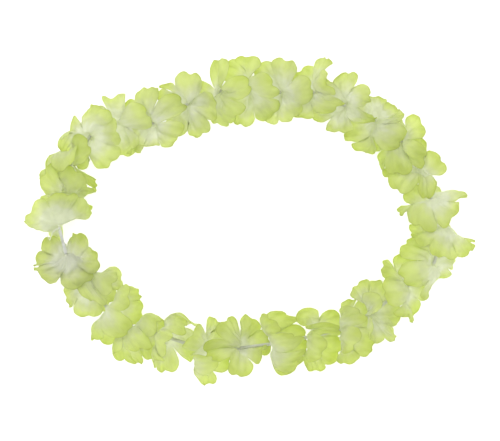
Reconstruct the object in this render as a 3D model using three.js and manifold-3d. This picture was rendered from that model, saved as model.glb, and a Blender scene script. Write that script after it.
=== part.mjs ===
// A flower lei laid flat: thirty die-cut cloth flowers threaded through their
// middles on one closed thread, with thin plastic straws between them.
// Units are millimetres, +Z is up, and the lei lies on the plane z = 0.
import * as THREE from 'three';
import { mergeVertices } from 'three/addons/utils/BufferGeometryUtils.js';
import Module from 'manifold-3d';

// ---- driving dimensions ----
const FLOWER_RADIUS = 36.6;        // middle of the hole to the end of a petal
const PETALS = 6;
const NOTCH_RADIUS = 18;           // foot of the slit between two petals
const WAIST_RADIUS = 27;           // a petal's widest place
const WAIST_DEG = 27;              // its edges there, either side of its middle
const FOLD_RADIUS = 11;            // where the cloth leaves the pinched middle
const PINCH_RADIUS = 2.9;          // cloth held flat between two straw ends
const HOLE_RADIUS = 1.2;
const CLOTH_THICKNESS = 0.6;
const PETAL_CORNER_DEG = 20;       // petal end corners, either side of its middle
const PETAL_CORNER_SHARE = 0.955;  // of the flower's radius
const PETAL_MIDDLE_SHARE = 0.96;   // the petal end dips a little in its middle
const STRAW_OUTER_RADIUS = 1.75;
const STRAW_INNER_RADIUS = 1.15;
const STRAW_SIDES = 8;
const STRAW_END_GAP = 1.15;        // flower middle to the end of the straw beside it
const THREAD_RADIUS = 0.5;
const THREAD_SIDES = 6;
const KNOT_AT = 3.4;               // along the thread from the first flower
const KNOT_RADIUS = 1.55;
const KNOT_STRAW_GAP = 5.6;        // the straw beside the knot starts here
const TAIL_RADIUS = 0.42;
const LEAN_START = 10.8;           // radius where the cloth starts to lean away from its root
const LEAN_END = 21;               // and where it lies wholly along its middle ring
const LEAN_POWER = 1.3;
const TURN_END = 36;               // a petal turns on its own from the slit's foot to here
const TURN_POWER = 1.25;
const TIP_DEG = 25;                // a petal's tip directions, either side of its middle

// Where the thread's loose tail lies, from the knot to its cut end.
const TAIL_PATH = [[-192.7, -9.1, 34.1], [-195.7, -11.7, 31.5], [-197.7, -15.9, 29.5], [-199, -19.1, 28.3], [-200.5, -17.1, 27.5], [-201.7, -13.1, 27.3]];

// Each flower: where its middle is, then the lie of its cloth as pairs of
// azimuth and elevation in degrees. Root and mid are near the middle and
// halfway out, at twelve even steps (petal, notch, petal, ...). Tip is at the
// petals' ends: left edge, middle and right edge of each petal in turn.
const FLOWERS = [
  {
    at: [-189.66, -4.48, 35.06],
    root: [40.9, -53.9, 24.3, -26.4, 26.2, 3.8, 55.3, 7, 85.2, 16.1, 116.2, 21.5, 149.2, 21.8, 175.9, 5.2, -159.9, -13.9, -144.3, -42.2, -105.1, -64.2, 1.4, -79.4],
    mid: [31.3, -54.3, 19.7, -25.3, 26.3, 1, 53.7, 0.7, 76.9, 18.3, 114.7, 20.9, 149.7, 25.7, 177.1, 9.1, -166.9, -16.7, -151.4, -48.6, -103.6, -62.1, 14.7, -84.2],
    tip: [38.3, -83.7, 23, -59, 12, -35, 14.4, -27.2, 33.3, -14.6, 57.1, -9.6, 52.8, 4.8, 69.8, 24.6, 103.5, 30.2, 119.6, 25.6, 152.4, 33.7, 179.1, 20.3, 174.5, 4.2, 177, -22.7, -175.4, -48.7, -161.9, -66, -104.7, -64.1, -87.7, -84.9],
  },
  {
    at: [-181.54, -33.58, 41.77],
    root: [-146.8, -17.2, -158.2, -46.9, 159.4, -64.5, 153.1, -87.5, -37.2, -67.8, -29.9, -46.2, -9.1, -24.8, -34.5, -14.2, -56.1, 3.7, -83.7, 18.3, -116.8, 19.5, -144.6, 11.1],
    mid: [-156.4, -16.1, -178.4, -42.9, 138.7, -59.5, 93.3, -59.1, 48, -58.8, 7, -40.8, -21.9, -35, -55, -35.9, -80.9, -13.9, -105.3, -2.7, -130.2, 3.7, -156.1, 10.1],
    tip: [-161.9, 0.2, -163.7, -23.1, 171.7, -28.1, 167.4, -32.7, 133.9, -42.2, 131.5, -69.1, 93, -66.8, 69.2, -50.8, 39.6, -42.3, 21.3, -47.8, -8.8, -27.7, -29.7, -4.4, -32.4, -9.8, -56.5, 7.5, -86.5, 15.9, -118.7, 17.6, -144, 26, -158.6, 5.8],
  },
  {
    at: [-163.31, -61.41, 17.32],
    root: [-123.1, 50.2, -109.4, 22.3, -88, 1.7, -65.4, -18, -40.5, -38.6, -4.8, -32.8, 12.1, -6.8, 32.6, 14.8, 52.2, 40.3, 12.1, 57.4, 77.8, 72.3, -176.6, 68.7],
    mid: [-137.4, 47.7, -118.9, 18, -86.1, 6.1, -62.5, -14, -43.7, -38.1, -9, -28.3, 8.6, -1.9, 31.4, 22, 33.6, 57.1, -23.3, 64.3, 66.6, 87.7, -171.9, 65.9],
    tip: [-170.7, 53.8, -140, 50.8, -119.3, 32.6, -109.7, 20.8, -85.7, 10, -60.7, 2.9, -63.7, -7.7, -45.9, -26.6, -18.6, -22.8, -18.5, -11, 4.7, -0.8, 28.5, 4.6, 15.3, 14.5, -4.9, 35.1, -35, 42, -42.3, 23.3, -61.4, 49.8, -116.1, 73.1],
  },
  {
    at: [-141.75, -87.7, 19.46],
    root: [-122.1, 67.2, -125.1, 42, -134.2, 14.5, -111.6, -6, -87.3, -26.3, -54, -40.8, -11, -45.2, 23.3, -30.1, 39.7, -3.3, 53.8, 22.4, 50.7, 53.1, 121.5, 80.2],
    mid: [-69.1, 56.8, -116.6, 37.1, -137.3, 18.2, -109, 0.6, -83.9, -17.9, -50.1, -22.6, -15.5, -27.7, 20.6, -28, 34, -2.2, 58.3, 17, 60.1, 48.7, 37, 80.3],
    tip: [-17.5, 44.3, -43, 29.7, -76.6, 31.4, -90.8, 30.6, -114.5, 21.1, -110.5, 1.5, -102.1, 2.6, -77.6, -7.3, -53.9, -20.6, -33.7, -18.5, -6.4, -12.5, 18.3, -23.8, 13.4, -18.4, 24.8, -0.9, 43.7, 14.1, 52.2, 20.7, 29.2, 41.2, -6.6, 52.1],
  },
  {
    at: [-116.47, -107.89, 11.14],
    root: [-46, -40.9, -10.2, -32.2, 16.1, -15, 37.7, 7.8, 54.7, 34.1, 61.1, 63.7, 147.5, 74.5, -157.3, 52.8, -153.5, 23.3, -134, 1.7, -109.4, -13.9, -79.6, -27.7],
    mid: [-43.2, -31.4, -11.2, -28.1, 15.5, -19.1, 41.4, -1, 54.6, 39.7, 14, 72.4, -128.7, 76.9, -139.9, 50.5, -150, 20.1, -127.9, 5.3, -102.3, -9.3, -74.4, -26],
    tip: [-70.7, -3, -51.4, -12.8, -27.3, -13.2, -19.1, -9.5, 3.3, -15.3, 7.7, 9.8, 14.4, 26.1, 11.7, 42.8, -27.6, 50.1, -36.7, 33.9, -62.8, 51, -99, 51, -117.6, 42, -129, 18.2, -101.7, 10.8, -99.7, -2.7, -81.1, 7.4, -73.2, -9.6],
  },
  {
    at: [-83.1, -116.33, 16.18],
    root: [169.6, 50.1, -153.9, 42, -130.7, 18.2, -119.1, -9.5, -106.2, -37.7, -77.1, -64.2, 12.9, -69.2, 59.8, -48.4, 77, -21.4, 99.5, 1.7, 98.5, 28.5, 122.6, 48.6],
    mid: [167.6, 52.3, -148.2, 43.8, -134.1, 22.1, -112.4, -3, -99.8, -30.2, -61.9, -45.9, -10.3, -47.3, 37.7, -38, 58.4, -9.7, 86.5, 13, 86, 38, 117.6, 61.8],
    tip: [14.4, 71.7, -69.9, 82.4, -83.5, 56.5, -80.5, 49, -114.8, 45.1, -107.3, 19.8, -107.9, 3.9, -91.3, -1.6, -67.7, -15.8, -50.6, -17.3, -34.6, -18.9, -3.7, -21.5, 17, -2.1, 14.1, 27.3, 43.1, 31, 49.5, 40.9, 23.5, 49.2, 5.4, 63.3],
  },
  {
    at: [-46.56, -128.78, 19.58],
    root: [-49.5, -51.5, 5.9, -60, 56.3, -48.5, 70.9, -20.3, 70, 10.7, 64.3, 43, 89, 71.2, -166.3, 70.5, -139.8, 43.7, -111.3, 23.7, -93.9, -1.7, -80.2, -30.6],
    mid: [-41, -49.8, 12.5, -57.6, 66.2, -52.7, 66.4, -19.1, 64.8, 15.8, 78.7, 41.2, 104.8, 66.5, -172, 66.1, -135.5, 49.4, -120.2, 20.4, -89.7, 0.3, -78.8, -31],
    tip: [-47.4, -22, -24.9, -31.9, 4.3, -30.2, 17.3, -28.4, 42.1, -23.1, 46.9, 3.1, 36.3, 15.6, 61.4, 23.6, 84.2, 10.1, 96.3, 34.2, 127.7, 56.8, 166.7, 48.3, -154.7, 71.1, -27.9, 64.7, -66.6, 47.1, -95.8, 29.4, -81.2, 6.7, -60.9, -13.6],
  },
  {
    at: [-15.02, -128.33, 16.54],
    root: [-34.1, 57.8, -27.7, 36, -1, 35.3, -14.5, 11, 7.9, -12.7, 38.5, -12.3, 64, 3.2, 57.3, 32.1, 36.4, 57.8, 22.8, 60.2, 125.6, 75.4, 7.3, 79.2],
    mid: [-57.6, 56.4, -32, 36.9, 5.5, 37.1, -8.7, 10.3, 6.7, -16.7, 40.1, -28.3, 55.9, 4.2, 70.4, 35.8, 84.8, 50.6, 66.5, 74.8, 164, 60.6, 56.2, 88.1],
    tip: [-117.1, 58.6, -86.4, 44.2, -49.1, 36.7, -29.4, 31.7, 3.8, 34.9, 3.4, 11.2, -10.1, 5.4, 16.1, 2.6, 35.3, -0.7, 35.5, -10.6, 62.1, -5.9, 80, 11.6, 88.4, 19.4, 109.2, 27.7, 141.2, 38.7, 155.8, 35.1, -173.1, 32.3, -141.3, 50.6],
  },
  {
    at: [23.07, -122.7, 23.72],
    root: [-101.3, 34.8, -94.8, -0.3, -78.4, -22.8, -52.8, -45.5, -3.6, -62, 70.5, -63.1, 108.8, -39.5, 118.2, -8.2, 123.6, 23.6, 119.9, 55.6, 137, 83.9, -96.4, 65.4],
    mid: [-82.1, 35.6, -93.1, 3.7, -72.4, -18.3, -45.2, -38.7, 2.8, -54.1, 67.7, -54.1, 103.6, -32.3, 123.6, -5.6, 120.7, 21.6, 128.1, 53.6, 18.7, 87.8, -43.4, 56],
    tip: [-2.9, 13.4, -27.3, 30.2, -58.8, 19.4, -69.7, -6.2, -40.7, -12.8, -17.5, -5.4, -13.1, -16.1, 9.6, -13.5, 35.5, -21.9, 36.9, -1.9, 58.7, -22.1, 89.9, -20.7, 109.6, 19, 94.6, 41.7, 48.3, 59.7, 57.6, 65, 22.3, 43, 13, 14.9],
  },
  {
    at: [61.06, -115.86, 19.07],
    root: [85.8, 62.2, 154.4, 65.4, -136.2, 61.3, -104.4, 38.8, -86.7, 13.8, -73.3, -11.4, -55.2, -35.9, -16.5, -51.9, 34.4, -48.5, 61.1, -26.6, 81.6, 0.9, 84.1, 33],
    mid: [59.6, 57.8, 117.3, 80.5, -113, 66.7, -109.8, 40.2, -89.4, 15.9, -71.9, -8.1, -53.8, -36.5, 3.2, -44.5, 41.3, -18.5, 66.2, 15.4, 92.9, 33.1, 112.5, 59.7],
    tip: [41.9, 47.5, 14.1, 32.1, 6.9, 49.9, 7.2, 65.8, -48.6, 57.7, -93.5, 45, -105.6, 34.3, -83, 14.1, -60.9, 0.1, -56.8, -4.3, -28.5, -12.8, -3.6, -20, 0.6, -7.4, 29.5, -4.3, 55.4, 17.4, 94.6, 29, 132.2, 48.8, 84.4, 73.5],
  },
  {
    at: [94.64, -108.1, 17.37],
    root: [139.9, 50.8, -169.9, 63.8, -120, 52.2, -102.9, 26.7, -81.3, 4.8, -65.6, -21, -37.6, -42.4, 7.5, -51.8, 46.9, -36.9, 67.6, -12.8, 85.4, 11.5, 110.2, 32],
    mid: [106.8, 62, 121.3, 83.1, -122.5, 65.5, -98.6, 37.6, -87.5, 5.7, -70.2, -18.7, -39.6, -40.2, 2.8, -48.5, 46, -38.7, 69.1, -10.7, 80.3, 18.3, 103.8, 40.6],
    tip: [95.9, 46.6, 44.3, 47.5, 19.6, 49.9, 6.8, 60.9, -51.9, 58.1, -94, 46, -105.7, 35.2, -91.1, 11.6, -60, 11.3, -54, 2.5, -31.8, -9.1, -7.9, -23.1, 7.4, -25.9, 34.4, -26.1, 57.4, -13, 65.6, 3.1, 72, 28, 94.4, 35.1],
  },
  {
    at: [119.9, -93.51, 19.16],
    root: [-53.8, 4.2, -44.7, -27.8, -19.2, -55.6, 38.6, -55.5, 73.9, -36.7, 90.6, -11.4, 104.5, 15, 117.6, 41.9, 103.8, 71.9, -178, 68.7, -83.3, 66.9, -59.4, 36.7],
    mid: [-45.9, 7.1, -27.5, -16.4, -8.4, -46.4, 40.4, -50.3, 87.6, -41.4, 95, -10.4, 110.4, 17.6, 122.4, 44.3, 91, 61, -177.7, 83.1, -93.8, 58.1, -57.8, 35.6],
    tip: [-57.5, 21.7, -43.1, -2.4, -37.4, -28, -22.4, -25.4, 4.8, -25.7, 33.5, -27.9, 43.4, -24.5, 62.2, -15, 84.9, 1, 89, 6.3, 115.1, 19.8, 139.6, 37.8, 102.6, 46.6, 56.7, 54.6, 26.9, 74.8, -74.9, 71.1, -90.9, 44.5, -61.8, 31.7],
  },
  {
    at: [153.55, -68.57, 22.68],
    root: [5.4, 68, -48.8, 51.5, -75.5, 27.6, -70.8, -3.2, -63.7, -34.9, -31.9, -57, 23.1, -55.1, 65.6, -43.6, 93.2, -24.1, 105.2, 3.4, 102.2, 34, 80.5, 60.8],
    mid: [-118, 87, -85.6, 56.3, -74.2, 24.9, -75.1, -7.3, -75, -41.1, -32.4, -44.7, 10.8, -44.3, 54.2, -40.4, 93.4, -31.7, 112.3, -2.4, 106.2, 30.3, 115.8, 60.7],
    tip: [142.8, 47.1, -176.5, 50.1, -134.8, 48.1, -123.9, 38, -90.1, 40.5, -72.1, 18.4, -70.1, -3.1, -70.2, -29.9, -42.8, -37.2, -27.5, -35.9, 7.5, -39.2, 40.4, -33.8, 58.1, -26.1, 78.6, -12.2, 104.7, -2, 120.1, 0.1, 133.8, 20.4, 155.2, 46.1],
  },
  {
    at: [182.06, -44.04, 33.47],
    root: [110.6, 45.9, 154.5, 68.9, -127.2, 61.2, -99, 34.8, -87.3, 5, -71.3, -22.3, -41.5, -38.2, -4.3, -37.1, 27.8, -28.4, 60.1, -23.2, 89.8, -14.7, 95.4, 15.6],
    mid: [128.9, 27.7, 153.3, 58.9, -142.1, 53.9, -112, 26.9, -97.6, -1.9, -84.1, -30.2, -48.8, -47.1, -14.6, -29.5, 16.8, -23.4, 51.4, -25, 82.9, -13.6, 108.2, 5.6],
    tip: [123.4, -8.8, 143.3, -1.1, 168.7, 3.4, -179.4, 10.5, -157.2, 15.7, -134.4, 28.2, -114.5, 20.7, -102.5, -1.6, -110.2, -27.6, -104.2, -37.9, -84.8, -62.7, -37.1, -50.3, -12.8, -56.1, 18.9, -42.1, 49, -29.5, 63.7, -23.2, 85, -14, 110, -6.8],
  },
  {
    at: [194.05, -6.25, 34.12],
    root: [157.1, -75.7, 165, -46.9, 166.9, -18.1, -168.6, -1.3, -161.1, 27, -140.2, 51.7, -88.4, 51.9, -59.5, 29.4, -36.9, 9.5, -35.2, -19.3, -18.7, -46.9, 20, -71.8],
    mid: [146.5, -75.6, 169.7, -47.3, 172.3, -21.8, -163, -3.2, -168.4, 24.2, -139.8, 42.1, -97.4, 38.4, -69.3, 20.1, -37.6, 14.5, -32.6, -12.3, -32.1, -43.5, -5.6, -72.1],
    tip: [23.3, -76.4, 104.3, -66.9, 145.3, -51.3, 154.6, -40.7, 172.6, -21.2, -170.4, -6.3, -168.9, 1.9, -158.8, 17.6, -137.4, 26.2, -124.7, 28.2, -95.5, 31, -70.8, 17.5, -67.3, 11.9, -45.4, 8.6, -32.5, -11.1, -19.2, -12.4, -32.7, -36.6, -28, -62.1],
  },
  {
    at: [180.58, 20.9, 31.74],
    root: [-156.2, 53.4, -99.9, 64.9, -36.7, 56, -1.1, 39.1, 17.5, 14, 30.3, -12.8, 45.5, -39.9, 61.8, -70.6, -169.7, -74.3, -164.7, -43, -162, -10.1, -168.1, 22.2],
    mid: [-154.6, 61.6, -87.7, 49.6, -35.4, 54.3, -14.1, 28.8, 17, 12.1, 26.7, -16.6, 32, -49.5, 85.2, -69.3, -169.3, -70, -163.3, -38, -157.8, -5.6, -168.5, 27.3],
    tip: [-142.7, 24.1, -116, 30.7, -81.8, 19.9, -72, 22.5, -47.4, 40.3, -5.1, 39.9, 8.5, 29.1, 4.4, 4, 12.5, -20, 7.9, -36.8, 20, -63, 83.3, -60.5, 108.5, -58.3, 147.1, -51.5, 174.6, -37.3, -169.3, -28.4, -156.7, 1.1, -146.5, 18.3],
  },
  {
    at: [168.72, 53.41, 17.62],
    root: [170.3, -17.6, -172.3, 6.6, -157.4, 32.7, -134.6, 59.9, -79, 56.1, -40.7, 43.5, -18.7, 71.8, 62, 61.2, 83.5, 33.3, 92, 5.2, 109.3, -19, 139.5, -26.9],
    mid: [172.5, -10.2, -170.8, 15.8, -148.9, 45.9, -84.1, 71.6, -65.2, 50.1, -31.5, 38.1, -12.2, 68.8, 65, 58, 82.2, 31, 95.2, 5.1, 112.6, -18.5, 144.8, -25.2],
    tip: [154.2, -23.7, -179.2, -17.7, -161.6, 1.1, -160.6, 12.2, -131.9, 22.2, -106.1, 42.6, -100.7, 52.9, -80.3, 25.7, -54.3, 33.2, -10.8, 40.3, 17.1, 50, 60.8, 54.3, 76.9, 52.7, 88.5, 30.9, 102, 9.4, 97.5, -0.8, 118.7, -12.7, 142.7, -21.8],
  },
  {
    at: [154.22, 78.48, 18.33],
    root: [156.9, -26.5, -168.7, -30.9, -144.3, -10.6, -138.7, 18.8, -135.5, 48.4, -87.3, 50.8, -121.9, 69.7, 131, 78.7, 71.7, 58.4, 83.8, 30.4, 106.8, 8.7, 125.9, -15.8],
    mid: [161.2, -25.7, -164.6, -31.3, -140, -9.8, -149.8, 23.8, -133.8, 57, -78.4, 46, -89.7, 67, 39.4, 83, 68.8, 55.7, 89.8, 34, 109.4, 7.4, 132.9, -12.4],
    tip: [136.2, -16.3, 165.2, -23.6, -162.4, -24.3, -152.6, -32.1, -132.8, -16.1, -124.3, 6.5, -118.9, 13.2, -102.8, 22.8, -76.7, 25.8, -62, 26.4, -40.8, 41.8, -12.8, 57.3, 11, 54.7, 47.5, 47, 75.6, 33.5, 106.6, 41, 99.6, 15.8, 112.4, -6.9],
  },
  {
    at: [126.79, 99.18, 20.63],
    root: [18.6, 57.5, 66.2, 50.4, 89, 25.8, 107.5, 1.3, 123.2, -26.8, 152, -47.7, -158.5, -63.5, -109.9, -46.8, -104.5, -13.9, -106.2, 20.3, -99.5, 51.8, -52.3, 76.5],
    mid: [19.9, 48.3, 62.3, 50.9, 86.3, 27, 104.9, -1.7, 126, -26.4, 161.9, -44.7, -146.5, -54.7, -112.5, -28.8, -96.8, 0.3, -104.6, 33.1, -69.1, 50.5, -14.9, 60.6],
    tip: [7, 35.2, 29.8, 52.7, 69.7, 58, 68.9, 48.9, 104.1, 46.8, 116.1, 31, 117.4, 13.2, 125.1, -10.2, 146, -28.3, 166.1, -34.6, -166, -25.8, -148.8, -5.8, -143.9, 7.4, -114.5, 16.3, -90.3, 26.1, -73.1, 21.9, -39.7, 21.5, -12.4, 24.2],
  },
  {
    at: [96.64, 114.68, 23.92],
    root: [130.2, -26.2, 164.1, -23.7, -168.7, -7.1, -143.3, 7.2, -124.4, 29.2, -97.7, 48.1, -56.5, 41.3, -20.8, 58.9, 53.1, 73.1, 103, 57.1, 111.1, 29, 113.5, -0.6],
    mid: [134.1, -18.5, 165.9, -20.6, -169.1, -4.3, -140.5, 9, -110, 19.2, -85, 44.1, -48.6, 32.5, -12.2, 51.1, 42.4, 56.2, 78.7, 46.3, 109.7, 34.8, 118.6, 7],
    tip: [128.9, 25.7, 138.3, 2.4, 157.5, -14.2, 169.2, -12.1, -171.7, 1.5, -150.7, 7, -129.6, 17.7, -109.9, 34.9, -74.3, 39.1, -51.8, 46, -26.3, 25.9, -28.3, 43, -6.2, 60.8, 18.2, 47.6, 48.6, 38, 65.4, 32.1, 85.6, 22.8, 117.2, 32.9],
  },
  {
    at: [66.94, 127.11, 22.67],
    root: [-143.7, 73.5, 1.3, 77.5, 128, 68.1, 112.9, 38.9, 101.6, 10.8, 99.4, -19.7, 124.1, -41.8, 160.1, -35.8, -167.3, -29, -150.4, -5.2, -141.6, 19.3, -133.9, 46],
    mid: [-85.2, 69.6, -17.4, 65.8, 103.5, 75.8, 92.6, 41.9, 96.2, 8.9, 97, -23.9, 115, -49.7, 156.4, -37.8, -167.8, -28.8, -152.5, -1.5, -127.6, 17.6, -116.2, 44],
    tip: [-71, 46, -36.8, 43, -19.6, 28.5, -6.7, 55.5, 37.9, 69.4, 64.6, 47.2, 59.2, 31, 70.9, 7.3, 87.6, -13.7, 93.2, -33.9, 124.2, -33.3, 152.4, -33, 167.6, -31.4, -171.3, -15.4, -153.1, 2.7, -145.8, 14.5, -123.4, 30.4, -93.4, 41.2],
  },
  {
    at: [32.39, 128.37, 19.29],
    root: [-172.3, -26.3, -140.1, -16, -115, 3.9, -92.6, 24.3, -90.1, 52.4, -47.1, 44.7, -5.2, 56, 59.1, 78.3, 122.7, 55.8, 122.4, 24.5, 130.5, -3.3, 154, -23.6],
    mid: [-173.5, -25.3, -143, -17.1, -122.2, 3.5, -101, 26.2, -83.7, 50.7, -42.3, 37.6, -11.3, 52.6, 40.9, 64.2, 93.6, 53.3, 111.5, 22.8, 130.2, -1.5, 155.9, -16.6],
    tip: [160.2, -20.4, -173.2, -19.9, -148.3, -13.3, -144.2, -3.8, -124.2, 11.5, -98.7, 20.6, -94.4, 29.3, -64.7, 33.6, -35.3, 41.6, -21.9, 34.2, 8.4, 33.4, 41.4, 39.4, 58, 29.1, 84.2, 22.9, 108.5, 16.1, 110.7, 6.9, 134.8, 0.1, 149.4, -20.8],
  },
  {
    at: [-0.57, 129.85, 20.23],
    root: [105.2, -34.4, 121.9, -64.3, -122.9, -80.5, -83.9, -52.9, -85.3, -23.9, -75.8, 3.5, -59.8, 28.7, -43.6, 55.5, -23.2, 86.8, 101.2, 60.3, 100.1, 28.5, 102.8, -3],
    mid: [102.5, -36.6, 141.3, -57.6, -153.4, -62.9, -112.2, -41.5, -102.6, -10.9, -78.1, 2.8, -51.4, 17.4, -31.9, 42.6, -9.8, 72.2, 95.6, 58.9, 98.8, 23.5, 95.2, -3.3],
    tip: [120.6, -2.8, 134.4, -18.2, 158.2, -29.1, 169.4, -29.6, -162, -26.1, -134.5, -26.7, -121.6, -21.4, -104.2, -1.8, -81.5, 9.7, -70.7, 12.5, -43.5, 13.6, -17, 16.5, -7.5, 22.1, 10.6, 43.9, 45, 45.8, 60.9, 27.9, 92.8, 16.4, 119.1, 4.8],
  },
  {
    at: [-27.12, 130.57, 19.25],
    root: [-88.8, 42.3, -114, 70.6, -37.5, 66.7, 54.4, 81.4, 135.8, 64.1, -155.2, 67, -145, 40.2, -176.5, 25.8, -174.4, -5.7, -145.2, -13.4, -118.3, -5.2, -99.5, 15.6],
    mid: [-95.2, 43.6, -86.3, 70.4, -29.9, 67.8, -168, 80.3, 107.5, 60.3, -178.6, 68.4, -158.8, 40.5, -178.3, 16.9, -167.3, -6.4, -143.5, -20.7, -121.1, -0, -103.8, 15],
    tip: [-77.9, 10, -60.6, 28.6, -30.9, 31, -22, 41.8, 10.5, 36.3, 44.1, 52.7, 67.7, 44.3, 96.2, 32.4, 123.2, 48.8, 154, 57.2, 175.2, 37.8, -169.7, 15.9, -171, 5.1, -151.7, -8.6, -129.3, -21.7, -117.4, -29.7, -95.3, -17.2, -72.6, -3.1],
  },
  {
    at: [-60.07, 117.58, 25.15],
    root: [-122.7, -19.5, -103.1, 5.9, -96.7, 35.8, -87.3, 68.2, -13.4, 61.3, 39.4, 58.7, -85.7, 85.8, 140.9, 60.6, 144.8, 27.9, 151.2, -1.6, 171.7, -24.6, -154.9, -27.5],
    mid: [-110.6, -36, -91, -7.9, -78, 23.2, -46.2, 55.1, -6.5, 41.2, 36.5, 52.6, 90.1, 69.6, 138, 51.2, 147.2, 26.3, 148.3, -5.6, 171.9, -27.8, -149.3, -36.5],
    tip: [-142.7, -15.6, -124.3, 0.4, -104.3, 19.1, -89.4, 15.2, -64.9, 6.4, -45.9, 25.6, -38.3, 22.4, -13.9, 37.4, 22.3, 47.4, 57.9, 46.2, 87.4, 34.6, 118.3, 31.4, 132.9, 36.6, 153.7, 18.9, 144.6, -4.8, 156.3, -14.6, -179.6, -26.3, -152.4, -18.1],
  },
  {
    at: [-93.57, 97.58, 27.45],
    root: [155.6, -21.8, -172.2, -29.3, -152.8, -4.8, -123.8, -0.1, -113, 23, -83.1, 29.2, -81.9, 53, -77.9, 76.4, 170.2, 74.6, 124.3, 51.7, 133, 26.2, 142.8, 1.8],
    mid: [152.7, -18.3, -173.3, -22.1, -143.1, -15.7, -120.1, 0.5, -102.3, 14.1, -78.9, 26.9, -57.1, 48.7, -5.8, 74.4, 49.2, 59.5, 101.4, 63.1, 117.9, 35.1, 136.5, 9.5],
    tip: [133.7, 0.3, 158.3, -5.2, -177, -15.1, -161.8, -18.8, -135.2, -18.2, -117.2, -0.1, -114.9, 13.4, -119.7, 39.7, -85.2, 46.8, -65.7, 35.3, -31.3, 36.7, 0.7, 31.6, 18.7, 24.8, 36.3, 9.7, 65.4, 19.9, 79, 17, 100.5, 0.7, 127.4, 1],
  },
  {
    at: [-128, 99.49, 21.5],
    root: [-153.7, -31, -120.1, -28.9, -87.2, -24.5, -66.1, -2, -71.5, 29.1, -87.2, 59, -168.7, 72.8, 85.2, 67.3, 138, 57, 149, 29.6, 158.9, 3, 176.9, -19.5],
    mid: [-146.7, -24.5, -114.5, -20.2, -83.7, -14.3, -58.5, 3.8, -65.5, 31.3, -34.6, 54.1, -4, 77.7, 71.7, 61.3, 121.3, 52.4, 136.5, 25.1, 164.8, 7.5, -179, -18],
    tip: [-176.4, -10.1, -151.6, -16.3, -125.5, -15.7, -115.3, -12.9, -89.6, -9, -65.6, 1.9, -76.1, 5.4, -69.7, 28.8, -50.7, 28.2, -15.9, 28.5, 12.9, 36.1, 50.6, 45, 79.1, 33.4, 109.2, 49.7, 130.4, 26, 149.7, 32.8, 156.7, 14.2, 174.8, -3.6],
  },
  {
    at: [-158.03, 85.4, 27.43],
    root: [87.6, 69.3, 151.3, 57, 173.1, 29.5, -172.4, -0.3, -152.2, -27.4, -116.7, -37.2, -102.1, -6.4, -113.9, 23.7, -82.3, 40.3, -44.3, 49.2, 2.7, 59.8, 51.2, 48.7],
    mid: [76.8, 50.9, 128, 52.5, 167.4, 38, 168.2, 4.5, -170.5, -17.9, -137.3, -32.7, -110.9, -14, -95, 13.5, -62.8, 17, -30.6, 24.8, -0.7, 40, 36.1, 43.3],
    tip: [30.3, 39.8, 61.5, 33.8, 94.5, 44.4, 127.1, 44.5, 173.1, 57.2, -166.8, 30.8, -161.9, 9.5, -146.5, -11.4, -133.3, -32.5, -126.9, -37.3, -119.9, -16.1, -97.1, -4.6, -77.2, -3.3, -51.4, 6.4, -22.8, 12.1, -16.3, 22.7, 6.8, 39, 34.6, 27.5],
  },
  {
    at: [-178.79, 59.5, 15.85],
    root: [169.2, 21.7, -164.1, 6.9, -138, -8.3, -108.2, -19, -79.3, -6.3, -60.5, 14.2, -54.9, 43.6, -55.5, 72.5, 40.6, 68.8, 69.3, 45.8, 104.8, 42.8, 137.6, 28.7],
    mid: [-178.7, 29, -160.6, 6.7, -139.9, -9.6, -108.5, -14.6, -78.6, -8.3, -54.9, 9.7, -50.3, 41.2, -49.9, 68.4, 66.9, 67.7, 81, 43.2, 114.2, 66.2, 149.4, 38.5],
    tip: [-172.1, 46.6, -148.2, 31.4, -160.3, 10.5, -154.2, 12.8, -140.9, -6, -119.1, -13.8, -110.8, -9.2, -88, -7.7, -63.2, -4.7, -53.3, -0.9, -40, 17.1, -35.2, 44.2, 4.9, 56.2, 39.1, 42.3, 76, 34.6, 40.2, 68.1, -86.6, 76, -149, 58.1],
  },
  {
    at: [-189.24, 29.74, 17.03],
    root: [-52.7, -28.6, -22.9, -18.1, -1.6, 0, -15, 25.4, -15.6, 53.2, 42.3, 60.3, -2.6, 81.3, -142.6, 67.6, -130.6, 38.8, -126.2, 9.7, -110.7, -15, -85.7, -33.1],
    mid: [-53.3, -24.7, -30.1, -7.8, -0.1, -0.8, 3.1, 30.9, 13.3, 62.4, 86.1, 59.6, 64.3, 83.6, -142, 68.2, -126.4, 39, -122.3, 10.4, -109.3, -14.8, -85.6, -35.3],
    tip: [-65, -28.6, -39.6, -19.3, -23.5, -2.6, 14.2, -13.3, -4.8, 6.5, 7.7, 28.5, 14.5, 33, 49.7, 39.1, 86, 44, 97.7, 32.7, 129.2, 49.6, 169.1, 56.9, -164.3, 57.1, -132.5, 44.5, -120.6, 21.1, -115.3, 9.2, -101.8, -12.3, -79.9, -27.2],
  },
];

// ---- colours ----
const cloth = () => new THREE.MeshStandardMaterial({ color: 0xc6db7a, roughness: 0.85, metalness: 0, side: THREE.DoubleSide });
const straw = () => new THREE.MeshStandardMaterial({ color: 0xe9ebe6, roughness: 0.35, metalness: 0 });
const thread = () => new THREE.MeshStandardMaterial({ color: 0xf0f0ea, roughness: 0.7, metalness: 0 });

// ---- small helpers ----
const V = (x, y, z) => new THREE.Vector3(x, y, z);
const rad = THREE.MathUtils.degToRad;
const two = (n) => String(n).padStart(2, '0');

function unit(azimuth, elevation) {
  const c = Math.cos(rad(elevation));
  return V(c * Math.cos(rad(azimuth)), c * Math.sin(rad(azimuth)), Math.sin(rad(elevation)));
}

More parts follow.
